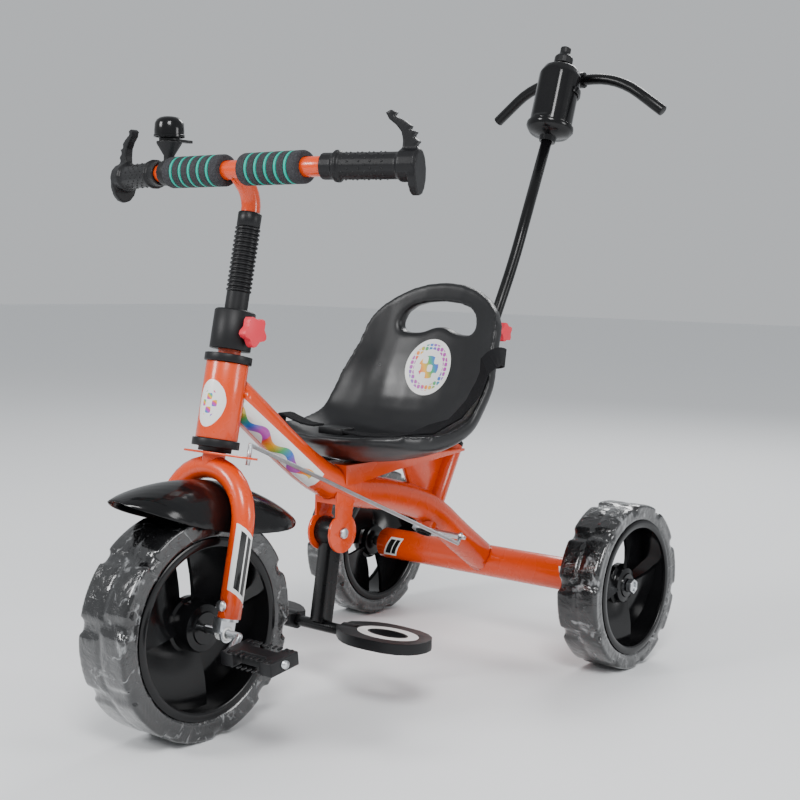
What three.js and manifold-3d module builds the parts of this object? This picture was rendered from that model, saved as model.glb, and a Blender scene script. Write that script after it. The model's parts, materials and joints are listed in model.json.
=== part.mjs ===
// Children's tricycle with a parent push handle, in millimetres, +Z up.
// The front of the tricycle faces -Y and the rider's left is +X. Each sub-part is one named mesh.
// Sizes are the named values in the first section; everything else follows from them.

import * as THREE from 'three';
import { mergeVertices } from 'three/addons/utils/BufferGeometryUtils.js';
import Module from 'manifold-3d';

const wasm = await Module();
wasm.setup();

// ---------------------------------------------------------------- driving dimensions

const wheelbase = 573; // front hub to rear axle
const rearTrack = 437; // between the middles of the rear wheels

const frontWheel = {
  radius: 125,
  halfWidth: 36,
  rimRadius: 98,
  hubRadius: 31,
  hubInner: -29,
  hubOuter: 29,
};
const rearWheel = {
  radius: 110,
  halfWidth: 29,
  rimRadius: 86,
  hubRadius: 26,
  hubInner: -31,
  hubOuter: 15,
};
const wheelSides = 24; // flat facets round a wheel, one of them on the ground
const bladeCount = 4;
const bladeAngle = 50; // degrees of rim that one blade takes
const webHalfThickness = 5;
const rimWall = 4;
const lipHeight = 3.5;
const lipWidth = 2.5;

const headAngle = 11; // lean of the steering axis from vertical, degrees
const headRadius = 24;
const headWall = 4;
const headBottom = 207; // all heights on the steering axis count from the front hub
const headLength = 86;
const cupRadius = 27;
const cupHeight = 9;
const cupInsert = 8;
const cupBossRadius = 19;

const mainTubeRadius = 21.5;
const mainTubeWall = 2;
const mainTubeHeadHeight = 268; // where its centre line leaves the steering axis
const axleTubeRadius = 22.5;
const axleTubeWall = 2;
const axleTubeHalf = rearTrack / 2 + rearWheel.hubInner - 3.5; // stops short of the wheel hubs
const axleEndWall = 4;
const rearAxleRadius = 6;
const hubNutRadius = 10;
const hubNutLength = 8;

const forkHalf = 60; // steering axis to the middle of a fork leg
const forkRadius = 13;
const forkWall = 1.8;
const crownHeight = 176;
const legEnd = 17;
const steererRadius = 13;
const steererWall = 1.6;
const steererTop = 340;
const collarRadius = 23.5;
const collarBottom = 308;
const collarHeight = 45;
const armThickness = 2.5;
const forkArmLength = 54;
const armHoleClearance = 3.2; // the rod's front leg floats in its hole

const dropoutWidth = 20;
const dropoutThickness = 3;
const dropoutInset = 22; // length of the tongue inside the fork leg
const bushRadius = 8.5;
const bushNeckRadius = 7.5;
const bushLength = 9; // between the ear and the wheel hub
const domeBoltRadius = 7;

const guardHalfWidth = forkHalf - forkRadius - 1.3; // fits between the legs
const guardThickness = 2.5;
const guardReach = 134; // half its length
const guardShift = 3; // its middle lies this far behind the steering axis
const guardSkirt = 107; // height of the side edge at the fork
const guardTipHeight = 125;
const guardRoundStart = 0.55; // share of the half length where the bill starts to narrow

const stemRadius = 11;
const stemWall = 1.6;
const stemBottom = 232;
const stemBend = 484;
const stemForward = 31.2; // handlebar in front of the steering axis
const stemRise = 22.4;
const stemCoverRadius = 14.3;
const stemCoverTop = 465;

const barRadius = 11;
const barWall = 1.5;
const barStraightHalf = 115;
const barHalf = 234; // to the outer faces of the grips
const barSweep = 33.3; // how far the ends lie behind the middle
const foamRadius = 18;
const foamInner = 15;
const foamOuter = 105;
const gripRadius = 14.5;
const gripStart = 12; // past the bend of the bar
const gripWall = 3;
const guardPlateThickness = 9;
const guardWidth = 10;

const bellOffset = 112; // on the rider's right
const bellStandHeight = 34;
const bellRadius = 18;
const bellHeight = 24;
const bellWall = 1.6;

const crankRodRadius = 4.5;
const crankReach = 17; // hub to pedal spindle
const crankAngle = 135; // from straight back down to the left pedal, degrees
const crankClearance = 0.8; // between a fork leg and a crank arm
const pedalInner = forkHalf + 24.5;
const pedalLength = 74;
const pedalWidth = 42;
const pedalThickness = 15;
const pedalTilt = 8; // how far its front edge hangs down, degrees

const pushAngle = 28.4; // lean of the push handle's shaft from vertical, degrees
const pushCrossing = 0.735; // where the shaft crosses the main tube, as a share of its length
const sleeveRadius = 14;
const sleeveTop = 98; // lengths on the shaft count from the middle of the main tube
const sleeveBottom = -27;
const shaftRadius = 11;
const shaftWall = 2;
const shaftTop = 284;
const shaftCollarRadius = 14.5;
const shaftCollarHeight = 22;
const crankPlateThickness = 3;
const pushTubeRadius = 8;
const pushTubeWall = 1.5;
const pushTubeBottom = 130;
const pushTubeStraight = 388; // where it starts to bend towards the vertical
const pushTubeTop = 595;
const pushTubeTopAngle = 23.5; // lean of its upper part, degrees
const handleAngle = 17.5; // lean of the bottle

const crossbarRadius = 8;
const crossbarHalf = 145;
const crossbarDrop = 49;
const crossbarSweep = 21;
const crossbarHeight = 103; // above the foot of the bottle, along its axis
const bottleRadius = 31.5;
const bottleLength = 104;
const bottleCapRadius = 14;
const bottleCapHeight = 27;
const holderWall = 3;
const holderCupHeight = 12;
const holderRingHeight = 62;
const holderRingWidth = 8;
const crossbarBehind = bottleRadius + holderWall + crossbarRadius + 1; // its middle to the bottle's axis

const knobRadius = 18;
const knobThickness = 13;
const pushKnobRadius = 14;
const knobScrewRadius = 3;
const knobLobes = 5;

const footPivot = { behind: 238, height: 197 };
const footLean = 9; // lean of the footrest stem, degrees
const footDrop = 117; // pivot to crossbar
const footStem = 20; // side of the square stem
const footHeadRadius = 18;
const footBarRadius = 7;
const footBarHalf = 52;
const clevisHalfGap = 15;
const clevisThickness = 3.5;
const earRadius = 25;
const earNeck = 36;
const footBoltRadius = 4;
const padStart = 38;
const padLength = 127;
const padWidth = 76;
const padThickness = 13;
const padHole = { start: 62, length: 54, width: 24 };

const seatFront = 196; // behind the front hub
const seatHalfWidth = 124;
const seatThickness = 19;
const seatPanTop = 302;
const seatTop = 508;
const seatFrontRound = 62;
const seatArchRound = 78;
const handleOpening = { half: 64, bottom: 438, height: 43, tongue: 9 };
const bracketHalfWidth = 22;
const bracketThickness = 3;
const bracketFront = 238;
const bracketGap = 1.6; // seat pan above the bracket
const beltWidth = 24;
const beltThickness = 2.4;
const buckle = { width: 42, depth: 26, height: 9 };

const gap = 0.3; // between pieces that touch on the real object
const play = 0.5; // between pieces that turn or slide in each other
const roundSides = 20;
const tubeSides = 14;
const smallSides = 12;

// ---------------------------------------------------------------- shared helpers

const radians = THREE.MathUtils.degToRad;
const vector = (x, y, z) => new THREE.Vector3(x, y, z);
const profile = (...points) => points.map(([x, y]) => new THREE.Vector2(x, y));

function polygon(radius, sides, turn = 0) {
  const points = [];
  for (let i = 0; i < sides; i += 1) {
    const angle = turn + (i * 2 * Math.PI) / sides;
    points.push(new THREE.Vector2(radius * Math.cos(angle), radius * Math.sin(angle)));
  }
  return points;
}

function ringShape(outer, inner, sides) {
  const shape = new THREE.Shape(polygon(outer, sides));
  if (inner > 0) shape.holes.push(new THREE.Path(polygon(inner, sides)));
  return shape;
}

// A plate of an outline in the XY plane, with its lower face at z = 0.
function plate(shape, thickness, curveSegments = 8) {
  return new THREE.ExtrudeGeometry(shape, { depth: thickness, bevelEnabled: false, curveSegments });
}

// A body turned about the Z axis from a closed or axis-to-axis outline of (radius, height) points.
function turned(points, sides = roundSides) {
  return new THREE.LatheGeometry(points, sides).rotateX(Math.PI / 2);
}

function closed(points) {
  return [...points, points[0].clone()];
}

function rod(radius, from, to, sides = smallSides) {
  return turned(profile([0, from], [radius, from], [radius, to], [0, to]), sides);
}

function pipe(outer, inner, from, to, sides = roundSides) {
  return turned(closed(profile([inner, from], [outer, from], [outer, to], [inner, to])), sides);
}

// A plate of a (behind, up) outline that stands in the plane of the wheels, from x to x + thickness.
function standing(shape, x, thickness, curveSegments = 8) {
  const flat = plate(shape, thickness, curveSegments);
  return flat.rotateX(Math.PI / 2).rotateZ(Math.PI / 2).translate(x, 0, 0);
}

function block(x0, x1, y0, y1, z0, z1) {
  const box = new THREE.BoxGeometry(x1 - x0, y1 - y0, z1 - z0);
  return box.translate((x0 + x1) / 2, (y0 + y1) / 2, (z0 + z1) / 2);
}

// Straight runs between corners, joined by round bends. Each straight run is one step long.
class PipePath extends THREE.Curve {
  constructor(corners, bendRadius, bendSteps = 6) {
    super();
    const first = corners[1].clone().sub(corners[0]).normalize();
    this.stations = [{ point: corners[0].clone(), tangent: first }];
    for (let i = 1; i < corners.length - 1; i += 1) {
      this.addBend(corners[i - 1], corners[i], corners[i + 1], bendRadius, bendSteps);
    }
    const last = corners.at(-1).clone().sub(corners.at(-2)).normalize();
    this.stations.push({ point: corners.at(-1).clone(), tangent: last });
  }

  addBend(before, corner, after, radius, steps) {
    const into = corner.clone().sub(before).normalize();
    const out = after.clone().sub(corner).normalize();
    const angle = into.angleTo(out);
    const setback = radius * Math.tan(angle / 2);
    const axis = into.clone().cross(out).normalize();
    const start = corner.clone().addScaledVector(into, -setback);
    const centre = start.clone().addScaledVector(axis.clone().cross(into), radius);
    const repeated = this.stations.at(-1).point.distanceTo(start) < 0.01;
    for (let i = repeated ? 1 : 0; i <= steps; i += 1) {
      const turn = (angle * i) / steps;
      const point = start.clone().sub(centre).applyAxisAngle(axis, turn).add(centre);
      this.stations.push({ point, tangent: into.clone().applyAxisAngle(axis, turn) });
    }
  }

  get steps() {
    return this.stations.length - 1;
  }

  getPoint(t, target = vector(0, 0, 0)) {
    return target.copy(this.stations[Math.round(t * this.steps)].point);
  }

  getPointAt(u, target) {
    return this.getPoint(u, target);
  }

  getTangentAt(u, target = vector(0, 0, 0)) {
    return target.copy(this.stations[Math.round(u * this.steps)].tangent);
  }
}

function bentPipe(path, outer, inner, sides = tubeSides) {
  const section = ringShape(outer, inner, sides);
  return new THREE.ExtrudeGeometry(section, { steps: path.steps, extrudePath: path });
}

function solid(geometry) {
  const merged = outward(geometry);
  const mesh = new wasm.Mesh({
    numProp: 3,
    vertProperties: new Float32Array(merged.attributes.position.array),
    triVerts: new Uint32Array(merged.index.array),
  });
  return new wasm.Manifold(mesh);
}

function surface(manifold) {
  const mesh = manifold.getMesh();
  const geometry = new THREE.BufferGeometry();
  geometry.setAttribute('position', new THREE.BufferAttribute(mesh.vertProperties, 3));
  geometry.setIndex(new THREE.BufferAttribute(mesh.triVerts, 1));
  return geometry;
}

function cut(body, ...tools) {
  return surface(tools.reduce((left, tool) => left.subtract(solid(tool)), solid(body)));
}

function join(...bodies) {
  return surface(bodies.map(solid).reduce((whole, body) => whole.add(body)));
}

// ---------------------------------------------------------------- materials

function paint(color, roughness, metalness = 0) {
  return new THREE.MeshStandardMaterial({ color, roughness, metalness });
}

const orangePaint = paint(0xf4511e, 0.25, 0.1);
const blackPaint = paint(0x141414, 0.3, 0.1);
const blackPlastic = paint(0x1b1b1d, 0.45);
const glossPlastic = paint(0x0d0d0f, 0.12);
const blackRubber = paint(0x1c1c1e, 0.75);
const foamRubber = paint(0x2a2a2e, 0.9);
const redPlastic = paint(0xe23a44, 0.4);
const whiteNylon = paint(0xe8e8e8, 0.5);
const zinc = paint(0xc4c8cc, 0.3, 1);
const webbing = paint(0x161616, 0.95);

// ---------------------------------------------------------------- places

const tricycle = new THREE.Group();

function frameAt(parent, position, leanBack = 0) {
  const frame = new THREE.Group();
  frame.position.copy(position);
  frame.rotation.x = -radians(leanBack);
  parent.add(frame);
  frame.updateMatrixWorld(true);
  return frame;
}

function add(frame, name, geometry, material) {
  const mesh = new THREE.Mesh(outward(geometry), material);
  mesh.name = name;
  frame.add(mesh);
}

// The steering axis goes up through the front hub; the push shaft goes up from the main tube.
const hubHeight = frontWheel.radius;
const steering = frameAt(tricycle, vector(0, 0, hubHeight), headAngle);
const onSteering = (x, back, up) => vector(x, back, up).applyMatrix4(steering.matrixWorld);

const mainTubeStart = onSteering(0, 0, mainTubeHeadHeight);
const mainTubeEnd = vector(0, wheelbase, rearWheel.radius);

// The main tube sags under the rider's legs and rises under the seat.
// Each station is (share of the length, rise over the straight line).
const mainTubeSway = [
  [0, 0],
  [0.1, -10],
  [0.2, -21],
  [0.31, -29],
  [0.42, -25],
  [0.57, 1],
  [0.71, 16],
  [0.85, 8],
  [1, 0],
];

function mainTubeCurve() {
  const along = mainTubeEnd.clone().sub(mainTubeStart);
  const up = vector(1, 0, 0).cross(along).normalize();
  const points = mainTubeSway.map(([share, sway]) =>
    mainTubeStart.clone().addScaledVector(along, share).addScaledVector(up, sway));
  return new THREE.CatmullRomCurve3(points, false, 'centripetal');
}

const mainCurve = mainTubeCurve();
const mainTubeSteps = 22;

function mainTubeAt(outer, inner) {
  const options = { steps: mainTubeSteps, extrudePath: mainCurve };
  return new THREE.ExtrudeGeometry(ringShape(outer, inner, tubeSides), options);
}

// The height of the main tube's centre line at a distance behind the front hub.
function mainTubeHeight(behind) {
  let low = 0;
  let high = 1;
  for (let i = 0; i < 40; i += 1) {
    const middle = (low + high) / 2;
    if (mainCurve.getPoint(middle).y < behind) low = middle;
    else high = middle;
  }
  return mainCurve.getPoint(low).z;
}

const pushing = frameAt(tricycle, mainCurve.getPointAt(pushCrossing), pushAngle);
const mainTubeEnvelope = mainTubeAt(mainTubeRadius + gap, 0);

// A geometry made in one frame, carried over into another.
function carried(geometry, from, to) {
  const matrix = to.matrixWorld.clone().invert().multiply(from.matrixWorld);
  return geometry.applyMatrix4(matrix);
}

// ---------------------------------------------------------------- frame

function alongX(geometry) {
  return geometry.rotateY(Math.PI / 2);
}

function addHeadTube() {
  const top = headBottom + headLength;
  add(steering, 'head_tube', pipe(headRadius, headRadius - headWall, headBottom, top), orangePaint);
  const bore = steererRadius + play;
  const insert = headRadius - headWall - gap;
  const lower = headBottom - gap;
  const upper = top + gap;
  const lowerCup = [
    [bore, lower + cupInsert], [bore, lower - cupHeight - 5], [cupBossRadius, lower - cupHeight - 5],
    [cupBossRadius, lower - cupHeight], [cupRadius, lower - cupHeight], [cupRadius, lower],
    [insert, lower], [insert, lower + cupInsert],
  ];
  const upperCup = [
    [bore, upper - cupInsert], [insert, upper - cupInsert], [insert, upper],
    [cupRadius, upper], [cupRadius, upper + cupHeight], [bore, upper + cupHeight],
  ];
  add(steering, 'headset_cup_lower', turned(closed(profile(...lowerCup))), blackPlastic);
  add(steering, 'headset_cup_upper', turned(closed(profile(...upperCup))), blackPlastic);
}

function addMainTube() {
  const head = carried(rod(headRadius + gap, 0, 2 * headBottom, 2 * roundSides), steering, tricycle);
  const axle = alongX(rod(axleTubeRadius + gap, -axleTubeHalf, axleTubeHalf, 2 * roundSides));
  axle.translate(0, wheelbase, rearWheel.radius);
  const sleeve = carried(rod(sleeveRadius + gap, -60, 60, roundSides), pushing, tricycle);
  const tube = mainTubeAt(mainTubeRadius, mainTubeRadius - mainTubeWall);
  add(tricycle, 'main_tube', cut(tube, head, axle, sleeve), orangePaint);
}

function addRearAxle() {
  const bore = rearAxleRadius + gap;
  const inner = axleTubeRadius - axleTubeWall;
  const wall = axleTubeHalf - axleEndWall;
  const outline = [
    [bore, -axleTubeHalf], [axleTubeRadius, -axleTubeHalf], [axleTubeRadius, axleTubeHalf],
    [bore, axleTubeHalf], [bore, wall], [inner, wall], [inner, -wall], [bore, -wall],
  ];
  const axle = frameAt(tricycle, vector(0, wheelbase, rearWheel.radius));
  add(axle, 'axle_tube', alongX(turned(closed(profile(...outline)))), orangePaint);
  const end = rearTrack / 2 + rearWheel.hubOuter + 1 + hubNutLength;
  add(axle, 'rear_axle', alongX(rod(rearAxleRadius, -end + 2, end - 2)), zinc);
  for (const [side, name] of [[1, 'hub_nut_left'], [-1, 'hub_nut_right']]) {
    const nut = new THREE.Shape(polygon(hubNutRadius, 6));
    nut.holes.push(new THREE.Path(polygon(rearAxleRadius + gap, smallSides)));
    const middle = side * (end - hubNutLength / 2);
    add(axle, name, alongX(plate(nut, hubNutLength)).translate(middle - hubNutLength / 2, 0, 0), zinc);
  }
}

function addPushSleeve() {
  const tube = pipe(sleeveRadius, shaftRadius + play, sleeveBottom, sleeveTop);
  add(pushing, 'push_sleeve', tube, orangePaint);
}

// The bracket under the seat: a folded channel from the main tube back to the sleeve, on a gusset.
function addSeatBracket() {
  const top = seatPanTop - seatThickness - bracketGap;
  const half = bracketHalfWidth;
  const sleeveFront = mainCurve.getPointAt(pushCrossing);
  const back = sleeveFront.y + (top - sleeveFront.z) * Math.tan(radians(pushAngle));
  const lower = mainTubeHeight(bracketFront);
  const side = new THREE.Shape(profile(
    [bracketFront, lower], [bracketFront + 24, lower], [bracketFront + 90, top - 16],
    [back - 30, top - 6], [back, top - bracketThickness], [back, top], [bracketFront, top],
  ));
  const gusset = new THREE.Shape(profile(
    [back - 116, top], [back, top], [back - 34, mainTubeHeight(back - 34)],
    [back - 84, mainTubeHeight(back - 84)],
  ));
  const whole = join(
    block(-half, half, bracketFront, back, top - bracketThickness, top),
    block(-half, half, bracketFront, bracketFront + bracketThickness, lower, top),
    standing(side, half - bracketThickness, bracketThickness),
    standing(side, -half, bracketThickness),
    standing(gusset, -bracketThickness, 2 * bracketThickness),
  );
  const sleeve = carried(rod(sleeveRadius + gap, -60, 300, roundSides), pushing, tricycle);
  const above = block(-half - 1, half + 1, back, back + 60, 0, seatTop);
  add(tricycle, 'seat_bracket', cut(whole, mainTubeEnvelope, sleeve, above), orangePaint);
}

function addFootrestClevis() {
  const pivot = frameAt(tricycle, vector(0, footPivot.behind, footPivot.height));
  const rise = mainTubeHeight(footPivot.behind) - footPivot.height;
  const ear = new THREE.Shape();
  ear.moveTo(-earNeck / 2 + 6, rise);
  ear.lineTo(-earNeck / 2 + 6, earRadius * 0.8);
  ear.absarc(0, 0, earRadius, radians(130), radians(410), false);
  ear.lineTo(earNeck / 2 + 6, rise);
  const hole = new THREE.Path(polygon(footBoltRadius + gap, smallSides));
  ear.holes.push(hole);
  const earPlaces = [clevisHalfGap, -clevisHalfGap - clevisThickness];
  const ears = earPlaces.map((x) => standing(ear, x, clevisThickness));
  const reach = clevisHalfGap + clevisThickness;
  const bridgeHeight = rise - mainTubeRadius - 2;
  const bridge = block(-reach, reach, -earNeck / 2 + 6, earNeck / 2 + 6, bridgeHeight, bridgeHeight + 8);
  const tube = carried(mainTubeEnvelope.clone(), tricycle, pivot);
  add(pivot, 'footrest_clevis', cut(join(...ears, bridge), tube), orangePaint);
  const half = clevisHalfGap + clevisThickness + gap;
  const bolt = [
    [0, -half - 5], [7, -half - 5], [7, -half], [footBoltRadius, -half],
    [footBoltRadius, half], [7.5, half], [6.5, half + 3], [0, half + 4.5],
  ];
  add(pivot, 'footrest_bolt', alongX(turned(profile(...bolt), smallSides)), zinc);
}

// ---------------------------------------------------------------- seat

// Side view of the seat's inner face on its middle line: (behind the front hub, height).
const seatCurve = new THREE.SplineCurve(profile(
  [seatFront, seatPanTop + 20], [seatFront + 30, seatPanTop + 7], [seatFront + 75, seatPanTop],
  [seatFront + 140, seatPanTop], [seatFront + 185, seatPanTop + 10], [seatFront + 214, seatPanTop + 42],
  [seatFront + 234, seatPanTop + 98], [seatFront + 250, seatPanTop + 140],
  [seatFront + 260, seatTop - 30], [seatFront + 264, seatTop],
));
const seatLength = seatCurve.getLength();
const seatBend = 215; // where the pan turns up into the back, along the curve

// How far the sides of the bucket stand up from the middle line.
function seatLift(along) {
  const wing = Math.exp(-(((along - seatBend) / 70) ** 2));
  return 22 + 20 * wing;
}

// A point of the seat: across is -1 to 1 from the right edge to the left, depth is measured
// from the inner face towards the back, and along runs from the front edge to the top.
function seatPoint(along, across, depth) {
  const share = THREE.MathUtils.clamp(along / seatLength, 0, 1);
  const middle = seatCurve.getPointAt(share);
  const tangent = seatCurve.getTangentAt(share);
  const narrowing = 14 * THREE.MathUtils.smoothstep(along, seatBend + 40, seatLength - seatArchRound);
  const frontNarrowing = 10 * (1 - THREE.MathUtils.smoothstep(along, 0, seatBend / 2));
  const half = seatHalfWidth - narrowing - frontNarrowing;
  const thin = 0.5 + 0.5 * THREE.MathUtils.smoothstep(along, 0, seatBend / 3);
  const lift = seatLift(along) * Math.abs(across) ** 2.4 - depth * thin;
  return vector(half * across, middle.x - tangent.y * lift, middle.y + tangent.x * lift);
}

function seatShell() {
  const rows = 20;
  const columns = 12;
  const positions = [];
  for (const depth of [0, seatThickness]) {
    for (let i = 0; i <= rows; i += 1) {
      for (let j = 0; j <= columns; j += 1) {
        const across = Math.sin((Math.PI / 2) * ((2 * j) / columns - 1));
        const rounding = 1 - (1 - Math.abs(across) ** 2.5) ** (1 / 2.5);
        const start = seatFrontRound * rounding;
        const end = seatLength - seatArchRound * (1 - Math.sqrt(1 - across ** 2));
        const point = seatPoint(start + ((end - start) * i) / rows, across, depth);
        positions.push(point.x, point.y, point.z);
      }
    }
  }
  return gridSkin(positions, rows, columns);
}

// Two grids of points, one behind the other, closed into a shell.
function gridSkin(positions, rows, columns) {
  const index = [];
  const layer = (rows + 1) * (columns + 1);
  const at = (k, i, j) => k * layer + i * (columns + 1) + j;
  const quad = (a, b, c, d) => index.push(a, b, c, a, c, d);
  for (let i = 0; i < rows; i += 1) {
    for (let j = 0; j < columns; j += 1) {
      quad(at(0, i, j), at(0, i, j + 1), at(0, i + 1, j + 1), at(0, i + 1, j));
      quad(at(1, i, j), at(1, i + 1, j), at(1, i + 1, j + 1), at(1, i, j + 1));
    }
    quad(at(0, i, 0), at(0, i + 1, 0), at(1, i + 1, 0), at(1, i, 0));
    quad(at(0, i, columns), at(1, i, columns), at(1, i + 1, columns), at(0, i + 1, columns));
  }
  for (let j = 0; j < columns; j += 1) {
    quad(at(0, 0, j), at(1, 0, j), at(1, 0, j + 1), at(0, 0, j + 1));
    quad(at(0, rows, j), at(0, rows, j + 1), at(1, rows, j + 1), at(1, rows, j));
  }
  const geometry = new THREE.BufferGeometry();
  geometry.setAttribute('position', new THREE.Float32BufferAttribute(positions, 3));
  geometry.setIndex(index);
  return geometry;
}

function addSeat() {
  const { half, bottom, height, tongue } = handleOpening;
  const opening = new THREE.Shape();
  opening.moveTo(-half * 0.75, bottom);
  opening.quadraticCurveTo(-half * 0.4, bottom, -half * 0.3, bottom + tongue * 0.5);
  opening.quadraticCurveTo(0, bottom + tongue * 1.6, half * 0.3, bottom + tongue * 0.5);
  opening.quadraticCurveTo(half * 0.4, bottom, half * 0.75, bottom);
  opening.quadraticCurveTo(half, bottom, half, bottom + height * 0.3);
  opening.bezierCurveTo(half, bottom + height * 0.8, half * 0.6, bottom + height, 0, bottom + height);
  const shoulder = bottom + height * 0.8;
  opening.bezierCurveTo(-half * 0.6, bottom + height, -half, shoulder, -half, bottom + height * 0.3);
  opening.quadraticCurveTo(-half, bottom, -half * 0.75, bottom);
  const tool = plate(opening, 160, 4).rotateX(Math.PI / 2).translate(0, seatFront + 320, 0);
  add(tricycle, 'seat', cut(seatShell(), tool), blackPlastic);
}

// A strap of rectangular section through stations of { point, across, out }.
function strap(stations, width, thickness) {
  const positions = [];
  const index = [];
  for (const { point, across, out } of stations) {
    for (const [a, b] of [[-1, -1], [1, -1], [1, 1], [-1, 1]]) {
      const corner = point.clone().addScaledVector(across, (a * width) / 2);
      corner.addScaledVector(out, (b * thickness) / 2);
      positions.push(corner.x, corner.y, corner.z);
    }
  }
  const last = 4 * (stations.length - 1);
  for (let i = 0; i < last; i += 4) {
    for (let k = 0; k < 4; k += 1) {
      const next = (k + 1) % 4;
      index.push(i + k, i + next, i + 4 + next, i + k, i + 4 + next, i + 4 + k);
    }
  }
  index.push(0, 2, 1, 0, 3, 2, last, last + 1, last + 2, last, last + 2, last + 3);
  const geometry = new THREE.BufferGeometry();
  geometry.setAttribute('position', new THREE.Float32BufferAttribute(positions, 3));
  geometry.setIndex(index);
  return geometry;
}

// The same geometry, its vertices merged and its faces turned out, whichever way they faced.
function outward(source) {
  const bare = source.clone();
  bare.deleteAttribute('normal');
  bare.deleteAttribute('uv');
  const geometry = mergeVertices(bare, 1e-4);
  const { position } = geometry.attributes;
  const index = geometry.index.array;
  const corner = (i) => vector(0, 0, 0).fromBufferAttribute(position, index[i]);
  let volume = 0;
  for (let i = 0; i < index.length; i += 3) volume += corner(i).dot(corner(i + 1).cross(corner(i + 2)));
  if (volume < 0) {
    for (let i = 0; i < index.length; i += 3) [index[i], index[i + 1]] = [index[i + 1], index[i]];
  }
  return geometry;
}

// The lap belt. Each stop is (along, across, depth) on the seat. The left half runs from the buckle
// over the pan, up inside the wing and round behind the back; the right half goes over the rim of
// the pan and under it.
const beltStops = {
  left: [
    [92, -0.12, -15], [92, -0.02, -14], [104, 0.12, -12], [140, 0.4, -11], [180, 0.68, -10],
    [225, 0.87, -9], [262, 0.95, -9], [288, 1.04, -7], [298, 1.09, 5], [303, 1.09, 16],
    [306, 1.05, 28], [308, 0.9, 34], [310, 0.6, 34], [310, 0.3, 32], [310, 0, 31],
  ],
  right: [
    [92, 0.54, -14], [90, 0.7, -11], [88, 0.9, -10], [87, 1, -8], [86, 1.06, 2], [86, 1.06, 14],
    [86, 1, 26], [86, 0.86, 31], [86, 0.6, 28], [86, 0.3, 25],
  ],
};

function beltStations(side, stops) {
  const points = stops.map(([along, across, depth]) => seatPoint(along, side * across, depth));
  const path = new THREE.CatmullRomCurve3(points, false, 'centripetal');
  const count = 2 * (stops.length - 1);
  return Array.from({ length: count + 1 }, (unused, i) => {
    const point = path.getPoint(i / count);
    const forward = path.getTangent(i / count);
    const [along, across, depth] = stops[Math.round(i / 2)];
    const lower = seatPoint(along - 5, side * across, depth);
    const upwards = seatPoint(along + 5, side * across, depth).sub(lower);
    const width = upwards.addScaledVector(forward, -upwards.dot(forward)).normalize();
    return { point, across: width, out: width.clone().cross(forward).normalize() };
  });
}

function addBelt() {
  for (const [side, name] of [[1, 'left'], [-1, 'right']]) {
    const stations = beltStations(side, beltStops[name]);
    add(tricycle, `belt_${name}`, strap(stations, beltWidth, beltThickness), webbing);
  }
  const [along, across, depth] = beltStops.left[0];
  const { width, depth: deep, height } = buckle;
  const shape = block(-width - 1, -1, -deep / 2, deep / 2, -height / 2, height / 2);
  add(tricycle, 'belt_buckle', shape.translate(...seatPoint(along, across, depth).toArray()), blackPlastic);
}

// ---------------------------------------------------------------- wheels

// Turned about the wheel's own axis with a flat facet at the bottom; radii are to the flats.
function wheelTurned(points) {
  const toCorner = 1 / Math.cos(Math.PI / wheelSides);
  const outline = points.map(([radius, x]) => [radius * toCorner, x]);
  const body = new THREE.LatheGeometry(closed(profile(...outline)), wheelSides);
  return body.rotateZ(-Math.PI / 2).rotateX(Math.PI / wheelSides);
}

function tyreGeometry({ radius, halfWidth, rimRadius }) {
  const bore = rimRadius + gap;
  const bead = halfWidth - lipWidth - gap;
  const shoulder = halfWidth - 6;
  return wheelTurned([
    [bore, -bead], [bore + lipHeight + gap, -halfWidth], [radius - 7, -halfWidth], [radius, -shoulder],
    [radius, shoulder], [radius - 7, halfWidth], [bore + lipHeight + gap, halfWidth], [bore, bead],
  ]);
}

// The rim: a barrel between two lips, a hub, and a web with windows between the blades.
// outer is the side of the hub that faces away from the tricycle: 1 for +X, -1 for -X.
function rimGeometry(wheel, axleRadius, outer) {
  const { halfWidth, rimRadius, hubRadius, hubInner, hubOuter } = wheel;
  const lip = halfWidth - lipWidth;
  const inside = rimRadius - rimWall;
  const bore = axleRadius + gap;
  const outline = [
    [inside, -halfWidth], [rimRadius + lipHeight, -halfWidth], [rimRadius, -lip], [rimRadius, lip],
    [rimRadius + lipHeight, halfWidth], [inside, halfWidth], [inside, webHalfThickness],
    [hubRadius, webHalfThickness], [hubRadius - 4, hubOuter], [bore, hubOuter],
    [bore, hubInner], [hubRadius - 4, hubInner], [hubRadius, -webHalfThickness],
    [inside, -webHalfThickness],
  ];
  const windows = [];
  const half = radians(360 / bladeCount - bladeAngle) / 2;
  for (let i = 0; i < bladeCount; i += 1) {
    const middle = radians(35) + (i * 2 * Math.PI) / bladeCount;
    const shape = new THREE.Shape();
    shape.absarc(0, 0, inside - 3, middle - half, middle + half, false);
    shape.absarc(0, 0, hubRadius + 4, middle + half * 1.1, middle - half * 1.1, true);
    const tool = plate(shape, 4 * webHalfThickness, 3).translate(0, 0, -2 * webHalfThickness);
    windows.push(alongX(tool));
  }
  const turnedOut = outline.map(([radius, x]) => [radius, x * outer]);
  return cut(wheelTurned(turnedOut), ...windows);
}

// A round bar through corner points, with a ball at each corner.
function barThrough(points, radius, sides = smallSides) {
  const pieces = [];
  for (let i = 1; i < points.length; i += 1) {
    const along = points[i].clone().sub(points[i - 1]);
    const piece = rod(radius, 0, along.length(), sides);
    const turn = new THREE.Quaternion();
    turn.setFromUnitVectors(vector(0, 0, 1), along.clone().normalize());
    piece.applyQuaternion(turn);
    pieces.push(piece.translate(...points[i - 1].toArray()));
  }
  for (const corner of points.slice(1, -1)) {
    pieces.push(new THREE.SphereGeometry(radius, 10, 6).translate(...corner.toArray()));
  }
  return join(...pieces);
}

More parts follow.
